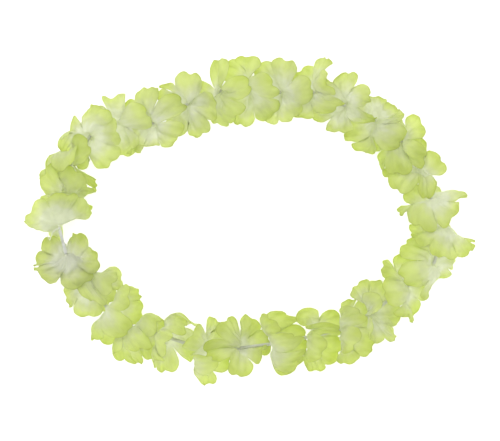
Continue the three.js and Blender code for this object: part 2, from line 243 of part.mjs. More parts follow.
// Second derivatives of the closed cubic spline through n even knots.
function curvatures(values) {
  const n = values.length;
  const want = values.map((v, i) => 6 * (values[(i + 1) % n] - 2 * v + values[(i + n - 1) % n]));
  let m = want.map((w) => w / 6);
  for (let pass = 0; pass < 60; pass += 1) {
    m = want.map((w, i) => (w - m[(i + 1) % n] - m[(i + n - 1) % n]) / 4);
  }
  return m;
}

// A closed spline of directions, read at any angle round the flower.
function turning(directions) {
  const n = directions.length;
  const axes = ['x', 'y', 'z'].map((k) => directions.map((d) => d[k]));
  const bends = axes.map(curvatures);
  return (degrees) => {
    const at = (((degrees / 360) % 1) + 1) % 1 * n;
    const i = Math.floor(at) % n;
    const j = (i + 1) % n;
    const u = at - Math.floor(at);
    const w = 1 - u;
    const out = axes.map((y, k) => {
      const m = bends[k];
      return (m[i] * w ** 3 + m[j] * u ** 3) / 6 + (y[i] - m[i] / 6) * w + (y[j] - m[j] / 6) * u;
    });
    return V(...out).normalize();
  };
}

const share = (value, from, to, power) => Math.min(1, Math.max(0, (value - from) / (to - from))) ** power;

const middles = FLOWERS.map((f) => V(...f.at));
const COUNT = FLOWERS.length;
const after = (i) => (i + 1) % COUNT;
const before = (i) => (i + COUNT - 1) % COUNT;
const along = (i) => middles[after(i)].clone().sub(middles[i]).normalize();
// The thread's direction where it passes through flower i.
const through = (i) => along(i).add(along(before(i))).normalize();

// ---- a flower ----
function flowerRings(i) {
  const middle = middles[i];
  const thru = through(i);
  const steps = 2 * PETALS;
  const list = (flat) => Array.from({ length: flat.length / 2 }, (_, k) => unit(flat[2 * k], flat[2 * k + 1]));
  const roots = list(FLOWERS[i].root);
  const root = turning(roots);
  const mid = turning(list(FLOWERS[i].mid));
  const tips = list(FLOWERS[i].tip);
  // A petal's own direction, off degrees from its middle.
  const tip = (petal, off) => {
    const x = off / TIP_DEG;
    const [a, b, c] = tips.slice(3 * petal, 3 * petal + 3);
    return a.clone().multiplyScalar((x * (x - 1)) / 2).addScaledVector(b, 1 - x * x).addScaledVector(c, (x * (x + 1)) / 2).normalize();
  };
  const clothAt = (petal, off, radius) => {
    const degrees = (petal * 360) / PETALS + off;
    const lean = share(radius, LEAN_START, LEAN_END, LEAN_POWER);
    const turn = share(radius, NOTCH_RADIUS, TURN_END, TURN_POWER);
    const d = root(degrees).multiplyScalar(1 - lean).addScaledVector(mid(degrees), lean).normalize();
    d.multiplyScalar(1 - turn).addScaledVector(tip(petal, off), turn).normalize();
    return middle.clone().addScaledVector(d, radius);
  };
  const fold = (k) => {
    const lean = share(FOLD_RADIUS, LEAN_START, LEAN_END, LEAN_POWER);
    const degrees = (k * 360) / steps;
    return root(degrees).multiplyScalar(1 - lean).addScaledVector(mid(degrees), lean).normalize();
  };
  // The pinched middle is square to the thread and turned to suit the petals.
  const square = roots.map((d) => d.clone().addScaledVector(thru, -d.dot(thru)).normalize());
  const x = square[0];
  const y = thru.clone().cross(x);
  let last = 0;
  let sum = 0;
  square.forEach((e, k) => {
    let a = Math.atan2(e.dot(y), e.dot(x));
    while (a - last > Math.PI) a -= 2 * Math.PI;
    while (a - last < -Math.PI) a += 2 * Math.PI;
    last = a;
    sum += a - (k * 2 * Math.PI) / steps;
  });
  const turn = sum / steps;
  const pinched = (radius) => Array.from({ length: steps }, (_, k) => {
    const a = turn + (k * 2 * Math.PI) / steps;
    return middle.clone().addScaledVector(x, radius * Math.cos(a)).addScaledVector(y, radius * Math.sin(a));
  });
  const petals = Array.from({ length: PETALS }, (_, p) => p);
  return [
    pinched(HOLE_RADIUS),
    pinched(PINCH_RADIUS),
    Array.from({ length: steps }, (_, k) => middle.clone().addScaledVector(fold(k), FOLD_RADIUS)),
    petals.flatMap((p) => [0, 15, 30, 45].map((off) => clothAt(p, off, NOTCH_RADIUS))),
    petals.flatMap((p) => [-WAIST_DEG, 0, WAIST_DEG].map((off) => clothAt(p, off, WAIST_RADIUS))),
    petals.flatMap((p) => [
      clothAt(p, -PETAL_CORNER_DEG, PETAL_CORNER_SHARE * FLOWER_RADIUS),
      clothAt(p, 0, PETAL_MIDDLE_SHARE * FLOWER_RADIUS),
      clothAt(p, PETAL_CORNER_DEG, PETAL_CORNER_SHARE * FLOWER_RADIUS),
    ]),
  ];
}

function flowerFaces() {
  const n = 2 * PETALS;
  const [hole, pinch, fold, notch, waist] = [0, n, 2 * n, 3 * n, 5 * n];
  const end = waist + 3 * PETALS;
  const faces = [];
  for (let k = 0; k < n; k += 1) {
    const l = (k + 1) % n;
    for (const a of [hole, pinch]) {
      faces.push([a + k, a + n + k, a + n + l], [a + k, a + n + l, a + l]);
    }
    const [o, p, q] = [notch + 2 * k, notch + 2 * k + 1, notch + ((2 * k + 2) % (2 * n))];
    faces.push([fold + k, o, p], [fold + k, p, fold + l], [fold + l, p, q]);
  }
  for (let p = 0; p < PETALS; p += 1) {
    const [a, b, m, c, d] = [-2, -1, 0, 1, 2].map((s) => notch + ((4 * p + s + 2 * n) % (2 * n)));
    const [e, f, g] = [0, 1, 2].map((k) => waist + 3 * p + k);
    const [h, o, q] = [0, 1, 2].map((k) => end + 3 * p + k);
    faces.push([a, e, b], [b, e, f], [b, f, m], [m, f, c], [c, f, g], [c, g, d]);
    faces.push([e, h, o], [e, o, f], [f, o, q], [f, q, g]);
  }
  return faces;
}

function solidFrom(points, faces) {
  const g = new THREE.BufferGeometry();
  g.setAttribute('position', new THREE.Float32BufferAttribute(points.flatMap((p) => [p.x, p.y, p.z]), 3));
  g.setIndex(faces.flat());
  g.computeVertexNormals();
  return g;
}

// A sheet of cloth given its thickness: two skins and the cut edges between.
function thicken(points, faces, thickness) {
  const normals = points.map(() => V(0, 0, 0));
  for (const [a, b, c] of faces) {
    const n = points[b].clone().sub(points[a]).cross(points[c].clone().sub(points[a]));
    for (const k of [a, b, c]) normals[k].add(n);
  }
  normals.forEach((n) => n.normalize());
  const count = points.length;
  const skin = (s) => points.map((p, k) => p.clone().addScaledVector(normals[k], (s * thickness) / 2));
  const all = [...skin(1), ...skin(-1)];
  const out = [];
  const edges = new Set();
  for (const [a, b, c] of faces) {
    out.push([a, b, c], [a + count, c + count, b + count]);
    for (const [p, q] of [[a, b], [b, c], [c, a]]) edges.add(`${p},${q}`);
  }
  for (const e of edges) {
    const [a, b] = e.split(',').map(Number);
    if (!edges.has(`${b},${a}`)) out.push([b, a, a + count], [b, a + count, b + count]);
  }
  return solidFrom(all, out);
}

// ---- straws and thread ----
function ring(at, dir, radius, sides) {
  const side = dir.clone().cross(V(0, 0, 1)).normalize();
  const lift = side.clone().cross(dir);
  return Array.from({ length: sides }, (_, k) => {
    const a = (k / sides) * 2 * Math.PI;
    return at.clone().addScaledVector(side, radius * Math.cos(a)).addScaledVector(lift, radius * Math.sin(a));
  });
}

function strawBetween(i, startGap) {
  const dir = along(i);
  const a = middles[i].clone().addScaledVector(dir, startGap);
  const b = middles[after(i)].clone().addScaledVector(dir, -STRAW_END_GAP);
  const n = STRAW_SIDES;
  const points = [
    ...ring(a, dir, STRAW_OUTER_RADIUS, n), ...ring(b, dir, STRAW_OUTER_RADIUS, n),
    ...ring(a, dir, STRAW_INNER_RADIUS, n), ...ring(b, dir, STRAW_INNER_RADIUS, n),
  ];
  const faces = [];
  for (let k = 0; k < n; k += 1) {
    const l = (k + 1) % n;
    faces.push([k, n + k, n + l], [k, n + l, l]);
    faces.push([2 * n + k, 3 * n + l, 3 * n + k], [2 * n + k, 2 * n + l, 3 * n + l]);
    faces.push([k, l, 2 * n + l], [k, 2 * n + l, 2 * n + k]);
    faces.push([n + k, 3 * n + l, n + l], [n + k, 3 * n + k, 3 * n + l]);
  }
  return outward(points, faces);
}

function signedVolume(points, faces) {
  let v = 0;
  for (const [a, b, c] of faces) v += points[a].dot(points[b].clone().cross(points[c])) / 6;
  return v;
}

function outward(points, faces) {
  return solidFrom(points, signedVolume(points, faces) > 0 ? faces : faces.map(([a, b, c]) => [a, c, b]));
}

function sweep(path, directions, radius, sides, closed) {
  const points = path.flatMap((p, k) => ring(p, directions[k], radius, sides));
  const faces = [];
  const rings = path.length;
  for (let r = 0; r < (closed ? rings : rings - 1); r += 1) {
    const s = (r + 1) % rings;
    for (let k = 0; k < sides; k += 1) {
      const l = (k + 1) % sides;
      faces.push([r * sides + k, s * sides + k, s * sides + l], [r * sides + k, s * sides + l, r * sides + l]);
    }
  }
  if (!closed) {
    points.push(path[0].clone(), path[rings - 1].clone());
    const [a, b] = [points.length - 2, points.length - 1];
    for (let k = 0; k < sides; k += 1) {
      const l = (k + 1) % sides;
      faces.push([a, k, l], [b, (rings - 1) * sides + l, (rings - 1) * sides + k]);
    }
  }
  return outward(points, faces);
}

// ---- joining the knot and tail to the thread ----
const wasm = await Module();
wasm.setup();

function toManifold(geometry) {
  const g = geometry.clone();
  g.deleteAttribute('normal');
  g.deleteAttribute('uv');
  const m = mergeVertices(g, 1e-4);
  return new wasm.Manifold(new wasm.Mesh({
    numProp: 3,
    vertProperties: new Float32Array(m.attributes.position.array),
    triVerts: new Uint32Array(m.index.array),
  }));
}

function fromManifold(solid) {
  const mesh = solid.getMesh();
  const g = new THREE.BufferGeometry();
  g.setAttribute('position', new THREE.BufferAttribute(new Float32Array(mesh.vertProperties), 3));
  g.setIndex(new THREE.BufferAttribute(new Uint32Array(mesh.triVerts), 1));
  g.computeVertexNormals();
  return g;
}

function threadLoop() {
  const loop = sweep(middles, middles.map((_, i) => through(i)), THREAD_RADIUS, THREAD_SIDES, true);
  const knotMiddle = middles[0].clone().addScaledVector(along(0), KNOT_AT);
  const knot = new THREE.IcosahedronGeometry(KNOT_RADIUS, 1);
  knot.translate(knotMiddle.x, knotMiddle.y, knotMiddle.z);
  const path = [knotMiddle, ...TAIL_PATH.map((p) => V(...p))];
  const curve = new THREE.CatmullRomCurve3(path);
  const rings = curve.getPoints(14);
  const directions = rings.map((_, k) => curve.getTangent(k / 14));
  const tail = sweep(rings, directions, TAIL_RADIUS, 6, false);
  const joined = toManifold(loop).add(toManifold(knot)).add(toManifold(tail));
  return fromManifold(joined);
}

// ---- the whole lei ----
const lei = new THREE.Group();
lei.name = 'flower_lei';

function put(name, geometry, material) {
  const mesh = new THREE.Mesh(geometry, material);
  mesh.name = name;
  lei.add(mesh);
}

const faces = flowerFaces();
for (let i = 0; i < COUNT; i += 1) {
  put(`flower_${two(i + 1)}`, thicken(flowerRings(i).flat(), faces, CLOTH_THICKNESS), cloth());
}
// No straw lies between the last flower and the first: only the bare thread.
for (let i = 0; i < COUNT - 1; i += 1) {
  put(`spacer_tube_${two(i + 1)}`, strawBetween(i, i === 0 ? KNOT_STRAW_GAP : STRAW_END_GAP), straw());
}
put('string_loop', threadLoop(), thread());

export default lei;
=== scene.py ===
import math

import bpy
import numpy as np
from mathutils.bvhtree import BVHTree
from mathutils.kdtree import KDTree
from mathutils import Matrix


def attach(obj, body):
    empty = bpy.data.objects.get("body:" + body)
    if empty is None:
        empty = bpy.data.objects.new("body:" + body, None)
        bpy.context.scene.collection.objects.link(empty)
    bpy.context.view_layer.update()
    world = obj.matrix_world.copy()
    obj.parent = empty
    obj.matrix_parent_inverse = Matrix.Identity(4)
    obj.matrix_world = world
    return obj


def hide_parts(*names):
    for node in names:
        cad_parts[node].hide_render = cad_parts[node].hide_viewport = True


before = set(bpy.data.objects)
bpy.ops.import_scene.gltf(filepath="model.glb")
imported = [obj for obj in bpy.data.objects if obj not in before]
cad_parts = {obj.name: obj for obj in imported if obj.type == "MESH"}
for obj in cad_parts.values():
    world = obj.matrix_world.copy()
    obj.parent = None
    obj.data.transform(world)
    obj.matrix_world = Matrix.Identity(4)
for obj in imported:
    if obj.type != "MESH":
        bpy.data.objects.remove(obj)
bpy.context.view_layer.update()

MM = 0.001

# ------------------------------------------------------------------ sizes, mm
FLOWER_RADIUS = 36.6
PETALS = 6
NOTCH_RADIUS = 18.0
WAIST_RADIUS = 27.0
WAIST_DEG = 27.0
FOLD_RADIUS = 11.0
PINCH_RADIUS = 2.9
HOLE_RADIUS = 1.25
CLOTH_HALF = 0.11
UV_HALF = 37.0
TOO_NEAR = 0.42
STRAW_RADIUS = 1.75
STRAW_WALL = 0.3
STRAW_END_GAP = 1.15
THREAD_RADIUS = 0.5
KNOT_AT = 3.4
KNOT_STRAW_GAP = 5.6
LEAN_START = 10.8
LEAN_END = 21.0
LEAN_POWER = 1.3
TURN_END = 36.0
TURN_POWER = 1.25
TIP_DEG = 25.0

# The camera's place over the lei, in the row frame.
EYE = (0.280, 0.190, 1999.715)

TAIL_PATH = [[-192.7, -9.1, 34.1], [-195.7, -11.7, 31.5], [-197.7, -15.9, 29.5], [-199, -19.1, 28.3], [-200.5, -17.1, 27.5], [-201.7, -13.1, 27.3]]

# Each flower: where its middle is, then the lie of its cloth as azimuth and
# elevation: near the middle and halfway out at twelve even steps round it, and
# at the left edge, middle and right edge of each petal's end.
FLOWERS = [
    (
        (-189.66, -4.48, 35.06),
        (40.9, -53.9, 24.3, -26.4, 26.2, 3.8, 55.3, 7, 85.2, 16.1, 116.2, 21.5, 149.2, 21.8, 175.9, 5.2, -159.9, -13.9, -144.3, -42.2, -105.1, -64.2, 1.4, -79.4),
        (31.3, -54.3, 19.7, -25.3, 26.3, 1, 53.7, 0.7, 76.9, 18.3, 114.7, 20.9, 149.7, 25.7, 177.1, 9.1, -166.9, -16.7, -151.4, -48.6, -103.6, -62.1, 14.7, -84.2),
        (38.3, -83.7, 23, -59, 12, -35, 14.4, -27.2, 33.3, -14.6, 57.1, -9.6, 52.8, 4.8, 69.8, 24.6, 103.5, 30.2, 119.6, 25.6, 152.4, 33.7, 179.1, 20.3, 174.5, 4.2, 177, -22.7, -175.4, -48.7, -161.9, -66, -104.7, -64.1, -87.7, -84.9),
    ),
    (
        (-181.54, -33.58, 41.77),
        (-146.8, -17.2, -158.2, -46.9, 159.4, -64.5, 153.1, -87.5, -37.2, -67.8, -29.9, -46.2, -9.1, -24.8, -34.5, -14.2, -56.1, 3.7, -83.7, 18.3, -116.8, 19.5, -144.6, 11.1),
        (-156.4, -16.1, -178.4, -42.9, 138.7, -59.5, 93.3, -59.1, 48, -58.8, 7, -40.8, -21.9, -35, -55, -35.9, -80.9, -13.9, -105.3, -2.7, -130.2, 3.7, -156.1, 10.1),
        (-161.9, 0.2, -163.7, -23.1, 171.7, -28.1, 167.4, -32.7, 133.9, -42.2, 131.5, -69.1, 93, -66.8, 69.2, -50.8, 39.6, -42.3, 21.3, -47.8, -8.8, -27.7, -29.7, -4.4, -32.4, -9.8, -56.5, 7.5, -86.5, 15.9, -118.7, 17.6, -144, 26, -158.6, 5.8),
    ),
    (
        (-163.31, -61.41, 17.32),
        (-123.1, 50.2, -109.4, 22.3, -88, 1.7, -65.4, -18, -40.5, -38.6, -4.8, -32.8, 12.1, -6.8, 32.6, 14.8, 52.2, 40.3, 12.1, 57.4, 77.8, 72.3, -176.6, 68.7),
        (-137.4, 47.7, -118.9, 18, -86.1, 6.1, -62.5, -14, -43.7, -38.1, -9, -28.3, 8.6, -1.9, 31.4, 22, 33.6, 57.1, -23.3, 64.3, 66.6, 87.7, -171.9, 65.9),
        (-170.7, 53.8, -140, 50.8, -119.3, 32.6, -109.7, 20.8, -85.7, 10, -60.7, 2.9, -63.7, -7.7, -45.9, -26.6, -18.6, -22.8, -18.5, -11, 4.7, -0.8, 28.5, 4.6, 15.3, 14.5, -4.9, 35.1, -35, 42, -42.3, 23.3, -61.4, 49.8, -116.1, 73.1),
    ),
    (
        (-141.75, -87.7, 19.46),
        (-122.1, 67.2, -125.1, 42, -134.2, 14.5, -111.6, -6, -87.3, -26.3, -54, -40.8, -11, -45.2, 23.3, -30.1, 39.7, -3.3, 53.8, 22.4, 50.7, 53.1, 121.5, 80.2),
        (-69.1, 56.8, -116.6, 37.1, -137.3, 18.2, -109, 0.6, -83.9, -17.9, -50.1, -22.6, -15.5, -27.7, 20.6, -28, 34, -2.2, 58.3, 17, 60.1, 48.7, 37, 80.3),
        (-17.5, 44.3, -43, 29.7, -76.6, 31.4, -90.8, 30.6, -114.5, 21.1, -110.5, 1.5, -102.1, 2.6, -77.6, -7.3, -53.9, -20.6, -33.7, -18.5, -6.4, -12.5, 18.3, -23.8, 13.4, -18.4, 24.8, -0.9, 43.7, 14.1, 52.2, 20.7, 29.2, 41.2, -6.6, 52.1),
    ),
    (
        (-116.47, -107.89, 11.14),
        (-46, -40.9, -10.2, -32.2, 16.1, -15, 37.7, 7.8, 54.7, 34.1, 61.1, 63.7, 147.5, 74.5, -157.3, 52.8, -153.5, 23.3, -134, 1.7, -109.4, -13.9, -79.6, -27.7),
        (-43.2, -31.4, -11.2, -28.1, 15.5, -19.1, 41.4, -1, 54.6, 39.7, 14, 72.4, -128.7, 76.9, -139.9, 50.5, -150, 20.1, -127.9, 5.3, -102.3, -9.3, -74.4, -26),
        (-70.7, -3, -51.4, -12.8, -27.3, -13.2, -19.1, -9.5, 3.3, -15.3, 7.7, 9.8, 14.4, 26.1, 11.7, 42.8, -27.6, 50.1, -36.7, 33.9, -62.8, 51, -99, 51, -117.6, 42, -129, 18.2, -101.7, 10.8, -99.7, -2.7, -81.1, 7.4, -73.2, -9.6),
    ),
    (
        (-83.1, -116.33, 16.18),
        (169.6, 50.1, -153.9, 42, -130.7, 18.2, -119.1, -9.5, -106.2, -37.7, -77.1, -64.2, 12.9, -69.2, 59.8, -48.4, 77, -21.4, 99.5, 1.7, 98.5, 28.5, 122.6, 48.6),
        (167.6, 52.3, -148.2, 43.8, -134.1, 22.1, -112.4, -3, -99.8, -30.2, -61.9, -45.9, -10.3, -47.3, 37.7, -38, 58.4, -9.7, 86.5, 13, 86, 38, 117.6, 61.8),
        (14.4, 71.7, -69.9, 82.4, -83.5, 56.5, -80.5, 49, -114.8, 45.1, -107.3, 19.8, -107.9, 3.9, -91.3, -1.6, -67.7, -15.8, -50.6, -17.3, -34.6, -18.9, -3.7, -21.5, 17, -2.1, 14.1, 27.3, 43.1, 31, 49.5, 40.9, 23.5, 49.2, 5.4, 63.3),
    ),
    (
        (-46.56, -128.78, 19.58),
        (-49.5, -51.5, 5.9, -60, 56.3, -48.5, 70.9, -20.3, 70, 10.7, 64.3, 43, 89, 71.2, -166.3, 70.5, -139.8, 43.7, -111.3, 23.7, -93.9, -1.7, -80.2, -30.6),
        (-41, -49.8, 12.5, -57.6, 66.2, -52.7, 66.4, -19.1, 64.8, 15.8, 78.7, 41.2, 104.8, 66.5, -172, 66.1, -135.5, 49.4, -120.2, 20.4, -89.7, 0.3, -78.8, -31),
        (-47.4, -22, -24.9, -31.9, 4.3, -30.2, 17.3, -28.4, 42.1, -23.1, 46.9, 3.1, 36.3, 15.6, 61.4, 23.6, 84.2, 10.1, 96.3, 34.2, 127.7, 56.8, 166.7, 48.3, -154.7, 71.1, -27.9, 64.7, -66.6, 47.1, -95.8, 29.4, -81.2, 6.7, -60.9, -13.6),
    ),
    (
        (-15.02, -128.33, 16.54),
        (-34.1, 57.8, -27.7, 36, -1, 35.3, -14.5, 11, 7.9, -12.7, 38.5, -12.3, 64, 3.2, 57.3, 32.1, 36.4, 57.8, 22.8, 60.2, 125.6, 75.4, 7.3, 79.2),
        (-57.6, 56.4, -32, 36.9, 5.5, 37.1, -8.7, 10.3, 6.7, -16.7, 40.1, -28.3, 55.9, 4.2, 70.4, 35.8, 84.8, 50.6, 66.5, 74.8, 164, 60.6, 56.2, 88.1),
        (-117.1, 58.6, -86.4, 44.2, -49.1, 36.7, -29.4, 31.7, 3.8, 34.9, 3.4, 11.2, -10.1, 5.4, 16.1, 2.6, 35.3, -0.7, 35.5, -10.6, 62.1, -5.9, 80, 11.6, 88.4, 19.4, 109.2, 27.7, 141.2, 38.7, 155.8, 35.1, -173.1, 32.3, -141.3, 50.6),
    ),
    (
        (23.07, -122.7, 23.72),
        (-101.3, 34.8, -94.8, -0.3, -78.4, -22.8, -52.8, -45.5, -3.6, -62, 70.5, -63.1, 108.8, -39.5, 118.2, -8.2, 123.6, 23.6, 119.9, 55.6, 137, 83.9, -96.4, 65.4),
        (-82.1, 35.6, -93.1, 3.7, -72.4, -18.3, -45.2, -38.7, 2.8, -54.1, 67.7, -54.1, 103.6, -32.3, 123.6, -5.6, 120.7, 21.6, 128.1, 53.6, 18.7, 87.8, -43.4, 56),
        (-2.9, 13.4, -27.3, 30.2, -58.8, 19.4, -69.7, -6.2, -40.7, -12.8, -17.5, -5.4, -13.1, -16.1, 9.6, -13.5, 35.5, -21.9, 36.9, -1.9, 58.7, -22.1, 89.9, -20.7, 109.6, 19, 94.6, 41.7, 48.3, 59.7, 57.6, 65, 22.3, 43, 13, 14.9),
    ),
    (
        (61.06, -115.86, 19.07),
        (85.8, 62.2, 154.4, 65.4, -136.2, 61.3, -104.4, 38.8, -86.7, 13.8, -73.3, -11.4, -55.2, -35.9, -16.5, -51.9, 34.4, -48.5, 61.1, -26.6, 81.6, 0.9, 84.1, 33),
        (59.6, 57.8, 117.3, 80.5, -113, 66.7, -109.8, 40.2, -89.4, 15.9, -71.9, -8.1, -53.8, -36.5, 3.2, -44.5, 41.3, -18.5, 66.2, 15.4, 92.9, 33.1, 112.5, 59.7),
        (41.9, 47.5, 14.1, 32.1, 6.9, 49.9, 7.2, 65.8, -48.6, 57.7, -93.5, 45, -105.6, 34.3, -83, 14.1, -60.9, 0.1, -56.8, -4.3, -28.5, -12.8, -3.6, -20, 0.6, -7.4, 29.5, -4.3, 55.4, 17.4, 94.6, 29, 132.2, 48.8, 84.4, 73.5),
    ),
    (
        (94.64, -108.1, 17.37),
        (139.9, 50.8, -169.9, 63.8, -120, 52.2, -102.9, 26.7, -81.3, 4.8, -65.6, -21, -37.6, -42.4, 7.5, -51.8, 46.9, -36.9, 67.6, -12.8, 85.4, 11.5, 110.2, 32),
        (106.8, 62, 121.3, 83.1, -122.5, 65.5, -98.6, 37.6, -87.5, 5.7, -70.2, -18.7, -39.6, -40.2, 2.8, -48.5, 46, -38.7, 69.1, -10.7, 80.3, 18.3, 103.8, 40.6),
        (95.9, 46.6, 44.3, 47.5, 19.6, 49.9, 6.8, 60.9, -51.9, 58.1, -94, 46, -105.7, 35.2, -91.1, 11.6, -60, 11.3, -54, 2.5, -31.8, -9.1, -7.9, -23.1, 7.4, -25.9, 34.4, -26.1, 57.4, -13, 65.6, 3.1, 72, 28, 94.4, 35.1),
    ),
    (
        (119.9, -93.51, 19.16),
        (-53.8, 4.2, -44.7, -27.8, -19.2, -55.6, 38.6, -55.5, 73.9, -36.7, 90.6, -11.4, 104.5, 15, 117.6, 41.9, 103.8, 71.9, -178, 68.7, -83.3, 66.9, -59.4, 36.7),
        (-45.9, 7.1, -27.5, -16.4, -8.4, -46.4, 40.4, -50.3, 87.6, -41.4, 95, -10.4, 110.4, 17.6, 122.4, 44.3, 91, 61, -177.7, 83.1, -93.8, 58.1, -57.8, 35.6),
        (-57.5, 21.7, -43.1, -2.4, -37.4, -28, -22.4, -25.4, 4.8, -25.7, 33.5, -27.9, 43.4, -24.5, 62.2, -15, 84.9, 1, 89, 6.3, 115.1, 19.8, 139.6, 37.8, 102.6, 46.6, 56.7, 54.6, 26.9, 74.8, -74.9, 71.1, -90.9, 44.5, -61.8, 31.7),
    ),
    (
        (153.55, -68.57, 22.68),
        (5.4, 68, -48.8, 51.5, -75.5, 27.6, -70.8, -3.2, -63.7, -34.9, -31.9, -57, 23.1, -55.1, 65.6, -43.6, 93.2, -24.1, 105.2, 3.4, 102.2, 34, 80.5, 60.8),
        (-118, 87, -85.6, 56.3, -74.2, 24.9, -75.1, -7.3, -75, -41.1, -32.4, -44.7, 10.8, -44.3, 54.2, -40.4, 93.4, -31.7, 112.3, -2.4, 106.2, 30.3, 115.8, 60.7),
        (142.8, 47.1, -176.5, 50.1, -134.8, 48.1, -123.9, 38, -90.1, 40.5, -72.1, 18.4, -70.1, -3.1, -70.2, -29.9, -42.8, -37.2, -27.5, -35.9, 7.5, -39.2, 40.4, -33.8, 58.1, -26.1, 78.6, -12.2, 104.7, -2, 120.1, 0.1, 133.8, 20.4, 155.2, 46.1),
    ),
    (
        (182.06, -44.04, 33.47),
        (110.6, 45.9, 154.5, 68.9, -127.2, 61.2, -99, 34.8, -87.3, 5, -71.3, -22.3, -41.5, -38.2, -4.3, -37.1, 27.8, -28.4, 60.1, -23.2, 89.8, -14.7, 95.4, 15.6),
        (128.9, 27.7, 153.3, 58.9, -142.1, 53.9, -112, 26.9, -97.6, -1.9, -84.1, -30.2, -48.8, -47.1, -14.6, -29.5, 16.8, -23.4, 51.4, -25, 82.9, -13.6, 108.2, 5.6),
        (123.4, -8.8, 143.3, -1.1, 168.7, 3.4, -179.4, 10.5, -157.2, 15.7, -134.4, 28.2, -114.5, 20.7, -102.5, -1.6, -110.2, -27.6, -104.2, -37.9, -84.8, -62.7, -37.1, -50.3, -12.8, -56.1, 18.9, -42.1, 49, -29.5, 63.7, -23.2, 85, -14, 110, -6.8),
    ),
    (
        (194.05, -6.25, 34.12),
        (157.1, -75.7, 165, -46.9, 166.9, -18.1, -168.6, -1.3, -161.1, 27, -140.2, 51.7, -88.4, 51.9, -59.5, 29.4, -36.9, 9.5, -35.2, -19.3, -18.7, -46.9, 20, -71.8),
        (146.5, -75.6, 169.7, -47.3, 172.3, -21.8, -163, -3.2, -168.4, 24.2, -139.8, 42.1, -97.4, 38.4, -69.3, 20.1, -37.6, 14.5, -32.6, -12.3, -32.1, -43.5, -5.6, -72.1),
        (23.3, -76.4, 104.3, -66.9, 145.3, -51.3, 154.6, -40.7, 172.6, -21.2, -170.4, -6.3, -168.9, 1.9, -158.8, 17.6, -137.4, 26.2, -124.7, 28.2, -95.5, 31, -70.8, 17.5, -67.3, 11.9, -45.4, 8.6, -32.5, -11.1, -19.2, -12.4, -32.7, -36.6, -28, -62.1),
    ),
    (
        (180.58, 20.9, 31.74),
        (-156.2, 53.4, -99.9, 64.9, -36.7, 56, -1.1, 39.1, 17.5, 14, 30.3, -12.8, 45.5, -39.9, 61.8, -70.6, -169.7, -74.3, -164.7, -43, -162, -10.1, -168.1, 22.2),
        (-154.6, 61.6, -87.7, 49.6, -35.4, 54.3, -14.1, 28.8, 17, 12.1, 26.7, -16.6, 32, -49.5, 85.2, -69.3, -169.3, -70, -163.3, -38, -157.8, -5.6, -168.5, 27.3),
        (-142.7, 24.1, -116, 30.7, -81.8, 19.9, -72, 22.5, -47.4, 40.3, -5.1, 39.9, 8.5, 29.1, 4.4, 4, 12.5, -20, 7.9, -36.8, 20, -63, 83.3, -60.5, 108.5, -58.3, 147.1, -51.5, 174.6, -37.3, -169.3, -28.4, -156.7, 1.1, -146.5, 18.3),
    ),
    (
        (168.72, 53.41, 17.62),
        (170.3, -17.6, -172.3, 6.6, -157.4, 32.7, -134.6, 59.9, -79, 56.1, -40.7, 43.5, -18.7, 71.8, 62, 61.2, 83.5, 33.3, 92, 5.2, 109.3, -19, 139.5, -26.9),
        (172.5, -10.2, -170.8, 15.8, -148.9, 45.9, -84.1, 71.6, -65.2, 50.1, -31.5, 38.1, -12.2, 68.8, 65, 58, 82.2, 31, 95.2, 5.1, 112.6, -18.5, 144.8, -25.2),
        (154.2, -23.7, -179.2, -17.7, -161.6, 1.1, -160.6, 12.2, -131.9, 22.2, -106.1, 42.6, -100.7, 52.9, -80.3, 25.7, -54.3, 33.2, -10.8, 40.3, 17.1, 50, 60.8, 54.3, 76.9, 52.7, 88.5, 30.9, 102, 9.4, 97.5, -0.8, 118.7, -12.7, 142.7, -21.8),
    ),
    (
        (154.22, 78.48, 18.33),
        (156.9, -26.5, -168.7, -30.9, -144.3, -10.6, -138.7, 18.8, -135.5, 48.4, -87.3, 50.8, -121.9, 69.7, 131, 78.7, 71.7, 58.4, 83.8, 30.4, 106.8, 8.7, 125.9, -15.8),
        (161.2, -25.7, -164.6, -31.3, -140, -9.8, -149.8, 23.8, -133.8, 57, -78.4, 46, -89.7, 67, 39.4, 83, 68.8, 55.7, 89.8, 34, 109.4, 7.4, 132.9, -12.4),
        (136.2, -16.3, 165.2, -23.6, -162.4, -24.3, -152.6, -32.1, -132.8, -16.1, -124.3, 6.5, -118.9, 13.2, -102.8, 22.8, -76.7, 25.8, -62, 26.4, -40.8, 41.8, -12.8, 57.3, 11, 54.7, 47.5, 47, 75.6, 33.5, 106.6, 41, 99.6, 15.8, 112.4, -6.9),
    ),
    (
        (126.79, 99.18, 20.63),
        (18.6, 57.5, 66.2, 50.4, 89, 25.8, 107.5, 1.3, 123.2, -26.8, 152, -47.7, -158.5, -63.5, -109.9, -46.8, -104.5, -13.9, -106.2, 20.3, -99.5, 51.8, -52.3, 76.5),
        (19.9, 48.3, 62.3, 50.9, 86.3, 27, 104.9, -1.7, 126, -26.4, 161.9, -44.7, -146.5, -54.7, -112.5, -28.8, -96.8, 0.3, -104.6, 33.1, -69.1, 50.5, -14.9, 60.6),
        (7, 35.2, 29.8, 52.7, 69.7, 58, 68.9, 48.9, 104.1, 46.8, 116.1, 31, 117.4, 13.2, 125.1, -10.2, 146, -28.3, 166.1, -34.6, -166, -25.8, -148.8, -5.8, -143.9, 7.4, -114.5, 16.3, -90.3, 26.1, -73.1, 21.9, -39.7, 21.5, -12.4, 24.2),
    ),
    (
        (96.64, 114.68, 23.92),
        (130.2, -26.2, 164.1, -23.7, -168.7, -7.1, -143.3, 7.2, -124.4, 29.2, -97.7, 48.1, -56.5, 41.3, -20.8, 58.9, 53.1, 73.1, 103, 57.1, 111.1, 29, 113.5, -0.6),
